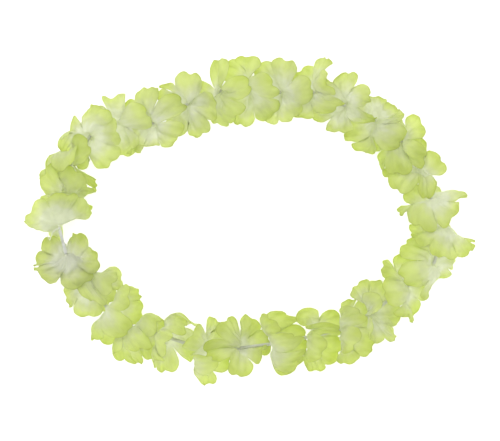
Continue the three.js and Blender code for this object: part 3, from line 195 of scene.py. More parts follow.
        (134.1, -18.5, 165.9, -20.6, -169.1, -4.3, -140.5, 9, -110, 19.2, -85, 44.1, -48.6, 32.5, -12.2, 51.1, 42.4, 56.2, 78.7, 46.3, 109.7, 34.8, 118.6, 7),
        (128.9, 25.7, 138.3, 2.4, 157.5, -14.2, 169.2, -12.1, -171.7, 1.5, -150.7, 7, -129.6, 17.7, -109.9, 34.9, -74.3, 39.1, -51.8, 46, -26.3, 25.9, -28.3, 43, -6.2, 60.8, 18.2, 47.6, 48.6, 38, 65.4, 32.1, 85.6, 22.8, 117.2, 32.9),
    ),
    (
        (66.94, 127.11, 22.67),
        (-143.7, 73.5, 1.3, 77.5, 128, 68.1, 112.9, 38.9, 101.6, 10.8, 99.4, -19.7, 124.1, -41.8, 160.1, -35.8, -167.3, -29, -150.4, -5.2, -141.6, 19.3, -133.9, 46),
        (-85.2, 69.6, -17.4, 65.8, 103.5, 75.8, 92.6, 41.9, 96.2, 8.9, 97, -23.9, 115, -49.7, 156.4, -37.8, -167.8, -28.8, -152.5, -1.5, -127.6, 17.6, -116.2, 44),
        (-71, 46, -36.8, 43, -19.6, 28.5, -6.7, 55.5, 37.9, 69.4, 64.6, 47.2, 59.2, 31, 70.9, 7.3, 87.6, -13.7, 93.2, -33.9, 124.2, -33.3, 152.4, -33, 167.6, -31.4, -171.3, -15.4, -153.1, 2.7, -145.8, 14.5, -123.4, 30.4, -93.4, 41.2),
    ),
    (
        (32.39, 128.37, 19.29),
        (-172.3, -26.3, -140.1, -16, -115, 3.9, -92.6, 24.3, -90.1, 52.4, -47.1, 44.7, -5.2, 56, 59.1, 78.3, 122.7, 55.8, 122.4, 24.5, 130.5, -3.3, 154, -23.6),
        (-173.5, -25.3, -143, -17.1, -122.2, 3.5, -101, 26.2, -83.7, 50.7, -42.3, 37.6, -11.3, 52.6, 40.9, 64.2, 93.6, 53.3, 111.5, 22.8, 130.2, -1.5, 155.9, -16.6),
        (160.2, -20.4, -173.2, -19.9, -148.3, -13.3, -144.2, -3.8, -124.2, 11.5, -98.7, 20.6, -94.4, 29.3, -64.7, 33.6, -35.3, 41.6, -21.9, 34.2, 8.4, 33.4, 41.4, 39.4, 58, 29.1, 84.2, 22.9, 108.5, 16.1, 110.7, 6.9, 134.8, 0.1, 149.4, -20.8),
    ),
    (
        (-0.57, 129.85, 20.23),
        (105.2, -34.4, 121.9, -64.3, -122.9, -80.5, -83.9, -52.9, -85.3, -23.9, -75.8, 3.5, -59.8, 28.7, -43.6, 55.5, -23.2, 86.8, 101.2, 60.3, 100.1, 28.5, 102.8, -3),
        (102.5, -36.6, 141.3, -57.6, -153.4, -62.9, -112.2, -41.5, -102.6, -10.9, -78.1, 2.8, -51.4, 17.4, -31.9, 42.6, -9.8, 72.2, 95.6, 58.9, 98.8, 23.5, 95.2, -3.3),
        (120.6, -2.8, 134.4, -18.2, 158.2, -29.1, 169.4, -29.6, -162, -26.1, -134.5, -26.7, -121.6, -21.4, -104.2, -1.8, -81.5, 9.7, -70.7, 12.5, -43.5, 13.6, -17, 16.5, -7.5, 22.1, 10.6, 43.9, 45, 45.8, 60.9, 27.9, 92.8, 16.4, 119.1, 4.8),
    ),
    (
        (-27.12, 130.57, 19.25),
        (-88.8, 42.3, -114, 70.6, -37.5, 66.7, 54.4, 81.4, 135.8, 64.1, -155.2, 67, -145, 40.2, -176.5, 25.8, -174.4, -5.7, -145.2, -13.4, -118.3, -5.2, -99.5, 15.6),
        (-95.2, 43.6, -86.3, 70.4, -29.9, 67.8, -168, 80.3, 107.5, 60.3, -178.6, 68.4, -158.8, 40.5, -178.3, 16.9, -167.3, -6.4, -143.5, -20.7, -121.1, -0, -103.8, 15),
        (-77.9, 10, -60.6, 28.6, -30.9, 31, -22, 41.8, 10.5, 36.3, 44.1, 52.7, 67.7, 44.3, 96.2, 32.4, 123.2, 48.8, 154, 57.2, 175.2, 37.8, -169.7, 15.9, -171, 5.1, -151.7, -8.6, -129.3, -21.7, -117.4, -29.7, -95.3, -17.2, -72.6, -3.1),
    ),
    (
        (-60.07, 117.58, 25.15),
        (-122.7, -19.5, -103.1, 5.9, -96.7, 35.8, -87.3, 68.2, -13.4, 61.3, 39.4, 58.7, -85.7, 85.8, 140.9, 60.6, 144.8, 27.9, 151.2, -1.6, 171.7, -24.6, -154.9, -27.5),
        (-110.6, -36, -91, -7.9, -78, 23.2, -46.2, 55.1, -6.5, 41.2, 36.5, 52.6, 90.1, 69.6, 138, 51.2, 147.2, 26.3, 148.3, -5.6, 171.9, -27.8, -149.3, -36.5),
        (-142.7, -15.6, -124.3, 0.4, -104.3, 19.1, -89.4, 15.2, -64.9, 6.4, -45.9, 25.6, -38.3, 22.4, -13.9, 37.4, 22.3, 47.4, 57.9, 46.2, 87.4, 34.6, 118.3, 31.4, 132.9, 36.6, 153.7, 18.9, 144.6, -4.8, 156.3, -14.6, -179.6, -26.3, -152.4, -18.1),
    ),
    (
        (-93.57, 97.58, 27.45),
        (155.6, -21.8, -172.2, -29.3, -152.8, -4.8, -123.8, -0.1, -113, 23, -83.1, 29.2, -81.9, 53, -77.9, 76.4, 170.2, 74.6, 124.3, 51.7, 133, 26.2, 142.8, 1.8),
        (152.7, -18.3, -173.3, -22.1, -143.1, -15.7, -120.1, 0.5, -102.3, 14.1, -78.9, 26.9, -57.1, 48.7, -5.8, 74.4, 49.2, 59.5, 101.4, 63.1, 117.9, 35.1, 136.5, 9.5),
        (133.7, 0.3, 158.3, -5.2, -177, -15.1, -161.8, -18.8, -135.2, -18.2, -117.2, -0.1, -114.9, 13.4, -119.7, 39.7, -85.2, 46.8, -65.7, 35.3, -31.3, 36.7, 0.7, 31.6, 18.7, 24.8, 36.3, 9.7, 65.4, 19.9, 79, 17, 100.5, 0.7, 127.4, 1),
    ),
    (
        (-128, 99.49, 21.5),
        (-153.7, -31, -120.1, -28.9, -87.2, -24.5, -66.1, -2, -71.5, 29.1, -87.2, 59, -168.7, 72.8, 85.2, 67.3, 138, 57, 149, 29.6, 158.9, 3, 176.9, -19.5),
        (-146.7, -24.5, -114.5, -20.2, -83.7, -14.3, -58.5, 3.8, -65.5, 31.3, -34.6, 54.1, -4, 77.7, 71.7, 61.3, 121.3, 52.4, 136.5, 25.1, 164.8, 7.5, -179, -18),
        (-176.4, -10.1, -151.6, -16.3, -125.5, -15.7, -115.3, -12.9, -89.6, -9, -65.6, 1.9, -76.1, 5.4, -69.7, 28.8, -50.7, 28.2, -15.9, 28.5, 12.9, 36.1, 50.6, 45, 79.1, 33.4, 109.2, 49.7, 130.4, 26, 149.7, 32.8, 156.7, 14.2, 174.8, -3.6),
    ),
    (
        (-158.03, 85.4, 27.43),
        (87.6, 69.3, 151.3, 57, 173.1, 29.5, -172.4, -0.3, -152.2, -27.4, -116.7, -37.2, -102.1, -6.4, -113.9, 23.7, -82.3, 40.3, -44.3, 49.2, 2.7, 59.8, 51.2, 48.7),
        (76.8, 50.9, 128, 52.5, 167.4, 38, 168.2, 4.5, -170.5, -17.9, -137.3, -32.7, -110.9, -14, -95, 13.5, -62.8, 17, -30.6, 24.8, -0.7, 40, 36.1, 43.3),
        (30.3, 39.8, 61.5, 33.8, 94.5, 44.4, 127.1, 44.5, 173.1, 57.2, -166.8, 30.8, -161.9, 9.5, -146.5, -11.4, -133.3, -32.5, -126.9, -37.3, -119.9, -16.1, -97.1, -4.6, -77.2, -3.3, -51.4, 6.4, -22.8, 12.1, -16.3, 22.7, 6.8, 39, 34.6, 27.5),
    ),
    (
        (-178.79, 59.5, 15.85),
        (169.2, 21.7, -164.1, 6.9, -138, -8.3, -108.2, -19, -79.3, -6.3, -60.5, 14.2, -54.9, 43.6, -55.5, 72.5, 40.6, 68.8, 69.3, 45.8, 104.8, 42.8, 137.6, 28.7),
        (-178.7, 29, -160.6, 6.7, -139.9, -9.6, -108.5, -14.6, -78.6, -8.3, -54.9, 9.7, -50.3, 41.2, -49.9, 68.4, 66.9, 67.7, 81, 43.2, 114.2, 66.2, 149.4, 38.5),
        (-172.1, 46.6, -148.2, 31.4, -160.3, 10.5, -154.2, 12.8, -140.9, -6, -119.1, -13.8, -110.8, -9.2, -88, -7.7, -63.2, -4.7, -53.3, -0.9, -40, 17.1, -35.2, 44.2, 4.9, 56.2, 39.1, 42.3, 76, 34.6, 40.2, 68.1, -86.6, 76, -149, 58.1),
    ),
    (
        (-189.24, 29.74, 17.03),
        (-52.7, -28.6, -22.9, -18.1, -1.6, 0, -15, 25.4, -15.6, 53.2, 42.3, 60.3, -2.6, 81.3, -142.6, 67.6, -130.6, 38.8, -126.2, 9.7, -110.7, -15, -85.7, -33.1),
        (-53.3, -24.7, -30.1, -7.8, -0.1, -0.8, 3.1, 30.9, 13.3, 62.4, 86.1, 59.6, 64.3, 83.6, -142, 68.2, -126.4, 39, -122.3, 10.4, -109.3, -14.8, -85.6, -35.3),
        (-65, -28.6, -39.6, -19.3, -23.5, -2.6, 14.2, -13.3, -4.8, 6.5, 7.7, 28.5, 14.5, 33, 49.7, 39.1, 86, 44, 97.7, 32.7, 129.2, 49.6, 169.1, 56.9, -164.3, 57.1, -132.5, 44.5, -120.6, 21.1, -115.3, 9.2, -101.8, -12.3, -79.9, -27.2),
    ),
]
COUNT = len(FLOWERS)

# ------------------------------------------------------------------ camera
scene = bpy.context.scene
camera = bpy.data.cameras.new("camera")
camera.type = "PERSP"
camera.sensor_fit = "HORIZONTAL"
camera.sensor_width = 36.0
camera.lens = 36.0 * 1.98 / 0.5
camera.clip_start = 0.05
camera.clip_end = 20.0
eye = bpy.data.objects.new("camera", camera)
eye.location = tuple(x * MM for x in EYE)
eye.rotation_euler = (0.0, 0.0, 0.0)
scene.collection.objects.link(eye)
scene.camera = eye


# ------------------------------------------------------------------ helpers
def unit(v):
    v = np.asarray(v, float)
    return v / np.maximum(np.linalg.norm(v, axis=-1, keepdims=True), 1e-9)


def smooth(x, a, b):
    t = np.clip((np.asarray(x, float) - a) / (b - a), 0, 1)
    return t * t * (3 - 2 * t)


def directions(pairs):
    a = np.radians(np.array(pairs, float).reshape(-1, 2))
    return np.stack([np.cos(a[:, 1]) * np.cos(a[:, 0]), np.cos(a[:, 1]) * np.sin(a[:, 0]), np.sin(a[:, 1])], 1)


def turning(d):
    """The closed cubic spline through directions at even steps, read at any angle."""
    n = len(d)
    eye_n = np.eye(n)
    m = np.linalg.solve(4 * eye_n + np.roll(eye_n, 1, 0) + np.roll(eye_n, -1, 0), 6 * (np.roll(d, -1, 0) - 2 * d + np.roll(d, 1, 0)))

    def at(degrees):
        x = (np.asarray(degrees, float) / 360 % 1) * n
        i = np.floor(x).astype(int) % n
        j = (i + 1) % n
        u = (x - np.floor(x))[..., None]
        w = 1 - u
        return unit((m[i] * w**3 + m[j] * u**3) / 6 + (d[i] - m[i] / 6) * w + (d[j] - m[j] / 6) * u)

    return at


def part_way(r, start, end, power):
    return np.clip((np.asarray(r, float) - start) / (end - start), 0, 1) ** power


def tip_weights(off):
    """A petal's direction from its left edge, middle and right edge, off degrees from its middle."""
    x = np.asarray(off, float) / TIP_DEG
    return np.stack([x * (x - 1) / 2, 1 - x * x, x * (x + 1) / 2], -1)


MIDDLES = np.array([f[0] for f in FLOWERS], float)


def along(i):
    return unit(MIDDLES[(i + 1) % COUNT] - MIDDLES[i % COUNT])


def through(i):
    return unit(along(i) + along((i - 1) % COUNT))


def put(name, verts, faces, material, uvs=None, sharp=50.0, edge=None):
    mesh = bpy.data.meshes.new(name)
    mesh.from_pydata((np.asarray(verts) * MM).tolist(), [], faces)
    if uvs is not None:
        layer = mesh.uv_layers.new(name="cut")
        index = np.empty(len(mesh.loops), dtype=np.int32)
        mesh.loops.foreach_get("vertex_index", index)
        layer.data.foreach_set("uv", np.asarray(uvs, float)[index].ravel())
    if edge is not None:
        layer = mesh.uv_layers.new(name="edge")
        layer.data.foreach_set("uv", np.stack([edge, np.full(len(edge), 0.5)], 1)[index].ravel())
    mesh.materials.append(material)
    mesh.polygons.foreach_set("use_smooth", [True] * len(mesh.polygons))
    mesh.validate()
    mesh.update()
    mesh.set_sharp_from_angle(angle=math.radians(sharp))
    piece = bpy.data.objects.new(name, mesh)
    scene.collection.objects.link(piece)
    return piece


# ------------------------------------------------------------------ materials
def nodes_of(name):
    material = bpy.data.materials.new(name)
    material.use_nodes = True
    tree = material.node_tree
    tree.nodes.clear()
    return material, tree


def link(tree, a, b):
    tree.links.new(a, b)


def vector_math(tree, operation, a, b=None, scale=None):
    n = tree.nodes.new("ShaderNodeVectorMath")
    n.operation = operation
    for k, v in enumerate((a, b)):
        if v is None:
            continue
        if isinstance(v, (tuple, list)):
            n.inputs[k].default_value = v
        else:
            link(tree, v, n.inputs[k])
    if scale is not None:
        n.inputs["Scale"].default_value = scale
    return n


def math_node(tree, operation, a, b=None, clamp=False):
    n = tree.nodes.new("ShaderNodeMath")
    n.operation = operation
    n.use_clamp = clamp
    for k, v in enumerate((a, b)):
        if v is None:
            continue
        if isinstance(v, (int, float)):
            n.inputs[k].default_value = v
        else:
            link(tree, v, n.inputs[k])
    return n.outputs[0]


def noise(tree, vector, scale, detail=2.0, roughness=0.5):
    n = tree.nodes.new("ShaderNodeTexNoise")
    n.inputs["Scale"].default_value = scale
    n.inputs["Detail"].default_value = detail
    n.inputs["Roughness"].default_value = roughness
    link(tree, vector, n.inputs["Vector"])
    return n.outputs["Fac"]


def colour_ramp(tree, fac, stops):
    n = tree.nodes.new("ShaderNodeValToRGB")
    n.color_ramp.interpolation = "EASE"
    e = n.color_ramp.elements
    while len(e) < len(stops):
        e.new(0.5)
    for k, (pos, rgb) in enumerate(stops):
        e[k].position = pos
        e[k].color = (*rgb, 1.0)
    link(tree, fac, n.inputs["Fac"])
    return n.outputs["Color"]


def srgb(r, g, b):
    return tuple((c / 255 / 12.92) if c / 255 <= 0.04045 else ((c / 255 + 0.055) / 1.055) ** 2.4 for c in (r, g, b))


def cloth_material(name, seed, reach, painted_shade_brightness, stops):
    """Printed polyester: grey-white in the middle, lime toward the petal ends, woven and a little see-through."""
    material, tree = nodes_of(name)
    uv = tree.nodes.new("ShaderNodeUVMap")
    uv.uv_map = "cut"
    p = vector_math(tree, "SUBTRACT", uv.outputs["UV"], (0.5, 0.5, 0.0))
    p = vector_math(tree, "SCALE", p.outputs[0], scale=2.0 * UV_HALF / FLOWER_RADIUS)
    radius = vector_math(tree, "LENGTH", p.outputs[0]).outputs["Value"]
    ray = vector_math(tree, "NORMALIZE", p.outputs[0])
    lift = tree.nodes.new("ShaderNodeCombineXYZ")
    link(tree, math_node(tree, "MULTIPLY_ADD", radius, 0.55), lift.inputs["Z"])
    lift.inputs["Z"].links[0].from_node.inputs[2].default_value = seed * 3.7
    streaks = noise(tree, vector_math(tree, "ADD", vector_math(tree, "SCALE", ray.outputs[0], scale=1.0).outputs[0], lift.outputs[0]).outputs[0], 5.0, 3.0, 0.6)
    shifted = vector_math(tree, "ADD", uv.outputs["UV"], (seed * 1.31, seed * 0.77, seed * 2.3)).outputs[0]
    blotch = noise(tree, shifted, 4.0, 2.0, 0.5)
    reach_at = math_node(tree, "MULTIPLY_ADD", streaks, 0.26)
    reach_at.node.inputs[2].default_value = -0.13 + reach
    wander = math_node(tree, "MULTIPLY_ADD", blotch, 0.4)
    wander.node.inputs[2].default_value = -0.2
    q = math_node(tree, "ADD", math_node(tree, "ADD", radius, reach_at), wander)
    dye = colour_ramp(tree, q, stops)
    # cloudy, uneven dye, scaled down as painted shade that darkens the whole cloth of some flowers
    cloud = noise(tree, shifted, 9.0, 3.0, 0.6)
    tone = colour_ramp(tree, cloud, [(0.3, (0.93 * painted_shade_brightness, 0.935 * painted_shade_brightness, 0.915 * painted_shade_brightness)), (0.7, (painted_shade_brightness, painted_shade_brightness, painted_shade_brightness))])
    mix = tree.nodes.new("ShaderNodeMix")
    mix.data_type = "RGBA"
    mix.blend_type = "MULTIPLY"
    mix.inputs["Factor"].default_value = 1.0
    link(tree, dye, mix.inputs[6])
    link(tree, tone, mix.inputs[7])
    # the cut edge, sealed by heat and a little greyer
    edge = tree.nodes.new("ShaderNodeUVMap")
    edge.uv_map = "edge"
    split = tree.nodes.new("ShaderNodeSeparateXYZ")
    link(tree, edge.outputs["UV"], split.inputs[0])
    seal = tree.nodes.new("ShaderNodeMix")
    seal.data_type = "RGBA"
    seal.blend_type = "MULTIPLY"
    link(tree, math_node(tree, "POWER", split.outputs["X"], 1.5), seal.inputs["Factor"])
    link(tree, mix.outputs[2], seal.inputs[6])
    seal.inputs[7].default_value = (0.79, 0.8, 0.74, 1.0)
    colour = seal.outputs[2]
    # weave: warp and weft 0.36 mm apart, and a soft crinkle
    bands = []
    for direction in ("X", "Y"):
        w = tree.nodes.new("ShaderNodeTexWave")
        w.wave_type = "BANDS"
        w.bands_direction = direction
        w.wave_profile = "SIN"
        w.inputs["Scale"].default_value = 64.0
        w.inputs["Distortion"].default_value = 1.2
        w.inputs["Detail"].default_value = 1.0
        w.inputs["Detail Scale"].default_value = 0.4
        link(tree, uv.outputs["UV"], w.inputs["Vector"])
        bands.append(w.outputs["Fac"])
    weave = math_node(tree, "MULTIPLY", bands[0], bands[1])
    crinkle = noise(tree, shifted, 26.0, 3.0, 0.55)
    bump_soft = tree.nodes.new("ShaderNodeBump")
    bump_soft.inputs["Strength"].default_value = 0.55
    bump_soft.inputs["Distance"].default_value = 0.0006
    link(tree, crinkle, bump_soft.inputs["Height"])
    bump = tree.nodes.new("ShaderNodeBump")
    bump.inputs["Strength"].default_value = 0.3
    bump.inputs["Distance"].default_value = 0.00006
    link(tree, weave, bump.inputs["Height"])
    link(tree, bump_soft.outputs["Normal"], bump.inputs["Normal"])
    rough = math_node(tree, "MULTIPLY_ADD", cloud, 0.18)
    rough.node.inputs[2].default_value = 0.55
    body = tree.nodes.new("ShaderNodeBsdfPrincipled")
    body.inputs["Metallic"].default_value = 0.0
    body.inputs["Specular IOR Level"].default_value = 0.3
    body.inputs["Sheen Weight"].default_value = 0.25
    body.inputs["Sheen Roughness"].default_value = 0.45
    body.inputs["Sheen Tint"].default_value = (0.95, 1.0, 0.85, 1.0)
    link(tree, colour, body.inputs["Base Color"])
    link(tree, rough, body.inputs["Roughness"])
    link(tree, bump.outputs["Normal"], body.inputs["Normal"])
    glow = tree.nodes.new("ShaderNodeBsdfTranslucent")
    link(tree, colour, glow.inputs["Color"])
    link(tree, bump_soft.outputs["Normal"], glow.inputs["Normal"])
    both = tree.nodes.new("ShaderNodeMixShader")
    both.inputs["Fac"].default_value = 0.6
    link(tree, body.outputs[0], both.inputs[1])
    link(tree, glow.outputs[0], both.inputs[2])
    out = tree.nodes.new("ShaderNodeOutputMaterial")
    link(tree, both.outputs[0], out.inputs["Surface"])
    return material


WHITE = srgb(249, 251, 238)
PALE = srgb(243, 247, 213)
LIME = srgb(240, 247, 185)
DEEP = srgb(232, 241, 158)
# The printing isn't even: how far the lime comes in is print. The lower brightness of the duller grades is painted
# shade, which darkens whole flowers.
PRINT_AND_SHADE_GRADES = {"A": (-0.07, 1.0), "B": (-0.035, 1.0), "C": (0.0, 1.0), "D": (0.035, 1.0), "E": (0.07, 1.0), "a": (-0.06, 0.965), "b": (-0.03, 0.965), "c": (0.0, 0.97), "e": (0.07, 0.965), "d": (0.035, 0.965), "w": (0.0, 0.885)}
PRINT_AND_SHADE_OF_FLOWERS = "BwaCCBCeeEcaDDDcdEcbcbCCbbABCC"
CLOTHS = [
    cloth_material("petal_cloth_%02d" % (i + 1), 1.0 + 0.37 * i, *PRINT_AND_SHADE_GRADES[grade], [(0.0, WHITE), (0.42, WHITE), (0.61, PALE), (0.82, LIME), (1.0, DEEP)])
    for i, grade in enumerate(PRINT_AND_SHADE_OF_FLOWERS)
]


def straw_material():
    """Thin white plastic that lets light through, drawn out with faint lines along its length."""
    material, tree = nodes_of("straw_plastic")
    where = tree.nodes.new("ShaderNodeTexCoord").outputs["Object"]
    uv = tree.nodes.new("ShaderNodeUVMap")
    uv.uv_map = "cut"
    haze = noise(tree, where, 320.0, 3.0, 0.6)
    stretched = vector_math(tree, "MULTIPLY", uv.outputs["UV"], (1.5, 14.0, 1.0)).outputs[0]
    lines = noise(tree, stretched, 4.0, 2.0, 0.5)
    colour = colour_ramp(tree, haze, [(0.3, srgb(233, 235, 229)), (0.7, srgb(244, 245, 241))])
    bump = tree.nodes.new("ShaderNodeBump")
    bump.inputs["Strength"].default_value = 0.35
    bump.inputs["Distance"].default_value = 0.0002
    link(tree, lines, bump.inputs["Height"])
    rough = math_node(tree, "MULTIPLY_ADD", haze, 0.2)
    rough.node.inputs[2].default_value = 0.26
    body = tree.nodes.new("ShaderNodeBsdfPrincipled")
    body.inputs["IOR"].default_value = 1.49
    body.inputs["Specular IOR Level"].default_value = 0.5
    link(tree, colour, body.inputs["Base Color"])
    link(tree, rough, body.inputs["Roughness"])
    link(tree, bump.outputs["Normal"], body.inputs["Normal"])
    glow = tree.nodes.new("ShaderNodeBsdfTranslucent")
    link(tree, colour, glow.inputs["Color"])
    both = tree.nodes.new("ShaderNodeMixShader")
    both.inputs["Fac"].default_value = 0.4
    link(tree, body.outputs[0], both.inputs[1])
    link(tree, glow.outputs[0], both.inputs[2])
    out = tree.nodes.new("ShaderNodeOutputMaterial")
    link(tree, both.outputs[0], out.inputs["Surface"])
    return material


def thread_material():
    """White two-ply thread, a little fuzzy."""
    material, tree = nodes_of("thread")
    where = tree.nodes.new("ShaderNodeTexCoord").outputs["Object"]
    fuzz = noise(tree, where, 2600.0, 3.0, 0.6)
    tone = noise(tree, where, 240.0, 2.0, 0.5)
    colour = colour_ramp(tree, tone, [(0.3, srgb(226, 228, 219)), (0.7, srgb(245, 246, 240))])
    bump = tree.nodes.new("ShaderNodeBump")
    bump.inputs["Strength"].default_value = 0.4
    bump.inputs["Distance"].default_value = 0.0001
    link(tree, fuzz, bump.inputs["Height"])
    rough = math_node(tree, "MULTIPLY_ADD", tone, 0.15)
    rough.node.inputs[2].default_value = 0.7
    body = tree.nodes.new("ShaderNodeBsdfPrincipled")
    body.inputs["Sheen Weight"].default_value = 0.3
    body.inputs["Specular IOR Level"].default_value = 0.25
    link(tree, colour, body.inputs["Base Color"])
    link(tree, rough, body.inputs["Roughness"])
    link(tree, bump.outputs["Normal"], body.inputs["Normal"])
    out = tree.nodes.new("ShaderNodeOutputMaterial")
    link(tree, body.outputs[0], out.inputs["Surface"])
    return material


STRAW = straw_material()
THREAD = thread_material()

# ------------------------------------------------------------------ flowers
HALF = [(0, 0.945), (2.6, 0.953), (5.5, 0.98), (9, 0.998), (12.5, 1.0), (16, 0.992), (19.5, 0.976), (22.5, 0.95), (25.2, 0.912), (27.4, 0.86), (29.3, 0.79)]
OFFSETS = [-a for a, _ in reversed(HALF[1:])] + [a for a, _ in HALF]
SHARES = [s for _, s in reversed(HALF[1:])] + [s for _, s in HALF]
PER = len(OFFSETS) + 1  # and the notch
COLUMNS = PER * PETALS
INNER = [HOLE_RADIUS, 2.0, PINCH_RADIUS, 4.0, 5.4, 7.0, 9.0, FOLD_RADIUS, 13.2, 15.6, NOTCH_RADIUS]
OUTER = [0.1, 0.21, 0.33, 0.45, 0.57, 0.69, 0.8, 0.89, 0.96, 1.0]


def flower_grid():
    """The flat cut: (angle, radius) of each point, and the faces between them."""
    die = np.random.default_rng(7)
    angle, radius, petal_of, off_of = [], [], [], []
    inner = np.zeros((len(INNER), COLUMNS), int)
    outer = -np.ones((len(OUTER), COLUMNS), int)
    columns = []
    for p in range(PETALS):
        lean = die.uniform(-0.012, 0.012)
        size = die.uniform(0.985, 1.0)
        for off, share in zip(OFFSETS, SHARES):
            s = share * size * (1 + lean * off / 25) if abs(off) < 24 else share
            columns.append((60.0 * p + off, min(s, 1.0) * FLOWER_RADIUS, p, off))
        columns.append((60.0 * p + 30.0, NOTCH_RADIUS, p, 30.0))
    n = 0
    for k, r in enumerate(INNER):
        for c, (a, _, p, off) in enumerate(columns):
            angle.append(a)
            radius.append(r)
            petal_of.append(p)
            off_of.append(off)
            inner[k, c] = n
            n += 1
    for k, s in enumerate(OUTER):
        for c, (a, end, p, off) in enumerate(columns):
            if end <= NOTCH_RADIUS + 1e-6:
                outer[k, c] = inner[-1, c]
                continue
            angle.append(a)
            radius.append(NOTCH_RADIUS + s * (end - NOTCH_RADIUS))
            petal_of.append(p)
            off_of.append(off)
            outer[k, c] = n
            n += 1
    rows = np.vstack([inner, outer])
    faces = []
    for k in range(len(rows) - 1):
        for c in range(COLUMNS):
            d = (c + 1) % COLUMNS
            f = [rows[k, c], rows[k + 1, c], rows[k + 1, d], rows[k, d]]
            g = [v for j, v in enumerate(f) if v != f[j - 1]]
            if len(g) >= 3:
                faces.append([int(v) for v in g])
    return np.array(angle), np.array(radius), np.array(petal_of), np.array(off_of), faces


ANGLE, RADIUS, PETAL, OFF, CUT_FACES = flower_grid()
CUT_XY = np.stack([RADIUS * np.cos(np.radians(ANGLE)), RADIUS * np.sin(np.radians(ANGLE))], 1)
CUT_UV = 0.5 + CUT_XY / (2 * UV_HALF)


def boundary(faces):
    seen = set()
    for f in faces:
        for a, b in zip(f, f[1:] + f[:1]):
            seen.add((a, b))
    return [(a, b) for a, b in seen if (b, a) not in seen]


RIM = sorted(boundary(CUT_FACES))
EDGE = np.zeros(len(RADIUS))
EDGE[[a for a, _ in RIM if RADIUS[a] > NOTCH_RADIUS + 2]] = 1.0


TRIS = np.array([(f[0], f[j], f[j + 1]) for f in CUT_FACES for j in range(1, len(f) - 1)])


def point_normals(points):
    n = np.cross(points[TRIS[:, 1]] - points[TRIS[:, 0]], points[TRIS[:, 2]] - points[TRIS[:, 0]])
    out = np.zeros_like(points)
    for k in range(3):
        np.add.at(out, TRIS[:, k], n)
    return unit(out)


def flower_surface(i, angle, radius, petal, off):
    """Where points of the flat cut lie in flower i, on its smooth surface."""
    middle, root_pairs, mid_pairs, tip_pairs = FLOWERS[i]
    middle = np.array(middle, float)
    roots = directions(root_pairs)
    root, mid = turning(roots), turning(directions(mid_pairs))
    tips = directions(tip_pairs).reshape(PETALS, 3, 3)
    thru = through(i)
    a = angle
    rr = root(a)
    lean = part_way(radius, LEAN_START, LEAN_END, LEAN_POWER)[:, None]
    own_share = part_way(radius, NOTCH_RADIUS, TURN_END, TURN_POWER)[:, None]
    own = unit((tip_weights(off)[:, :, None] * tips[petal]).sum(1))
    d = unit(unit(rr * (1 - lean) + mid(a) * lean) * (1 - own_share) + own * own_share)
    free = middle + radius[:, None] * d
    # the pinched middle, square to the thread
    square = unit(roots - (roots @ thru)[:, None] * thru)
    x = square[0]
    y = np.cross(thru, x)
    last = total = 0.0
    for k, e in enumerate(square):
        t = math.atan2(e @ y, e @ x)
        while t - last > math.pi:
            t -= 2 * math.pi
        while t - last < -math.pi:
            t += 2 * math.pi
        last = t
        total += t - k * 2 * math.pi / len(square)
    turn = total / len(square) + np.radians(a)
    e = x * np.cos(turn)[:, None] + y * np.sin(turn)[:, None]
    w = np.clip((radius - PINCH_RADIUS) / (FOLD_RADIUS - PINCH_RADIUS), 0, 1)[:, None]
    span = FOLD_RADIUS - PINCH_RADIUS
    p0, p1 = middle + PINCH_RADIUS * e, middle + FOLD_RADIUS * rr
    h00, h10 = 2 * w**3 - 3 * w**2 + 1, w**3 - 2 * w**2 + w
    h01, h11 = -2 * w**3 + 3 * w**2, w**3 - w**2
    neck = h00 * p0 + h10 * (0.8 * span * e) + h01 * p1 + h11 * (0.8 * span * rr)
    pts = np.where((radius <= PINCH_RADIUS)[:, None], middle + radius[:, None] * e, np.where((radius < FOLD_RADIUS)[:, None], neck, free))
    return pts


# The solid flower is made of flat faces between a few of these points. Where two
# smooth surfaces would cross, both go back to lying on those faces.
def plain_points():
    rows = [(30.0 * k, r) for r in (HOLE_RADIUS, PINCH_RADIUS, FOLD_RADIUS) for k in range(12)]
    rows += [(15.0 * k, NOTCH_RADIUS) for k in range(24)]
    out = [(a, r, int(round(a / 60)) % PETALS, a - 60 * round(a / 60)) for a, r in rows]
    out += [(60.0 * p + o, WAIST_RADIUS, p, o) for p in range(PETALS) for o in (-WAIST_DEG, 0.0, WAIST_DEG)]
    out += [(60.0 * p + o, share * FLOWER_RADIUS, p, o) for p in range(PETALS) for o, share in ((-20.0, 0.955), (0.0, 0.96), (20.0, 0.955))]
    return [np.array(c) for c in zip(*out)]


def plain_faces():
    inner, outer = [], []
    for k in range(12):
        n = (k + 1) % 12
        for a in (0, 12):
            inner += [(a + k, a + 12 + k, a + 12 + n), (a + k, a + 12 + n, a + n)]
        o, o1, o2 = 36 + 2 * k, 37 + 2 * k, 36 + (2 * k + 2) % 24
        inner += [(24 + k, o, o1), (24 + k, o1, 24 + n), (24 + n, o1, o2)]
    for p in range(PETALS):
        a, b, m, c, d = [36 + (4 * p + q) % 24 for q in (-2, -1, 0, 1, 2)]
        e, f, g = [60 + 3 * p + q for q in range(3)]
        h, i, j = [78 + 3 * p + q for q in range(3)]
        outer += [(p, t) for t in ((a, e, b), (b, e, f), (b, f, m), (m, f, c), (c, f, g), (c, g, d), (e, h, i), (e, i, f), (f, i, j), (f, j, g))]
    return inner, outer


PLAIN = plain_points()


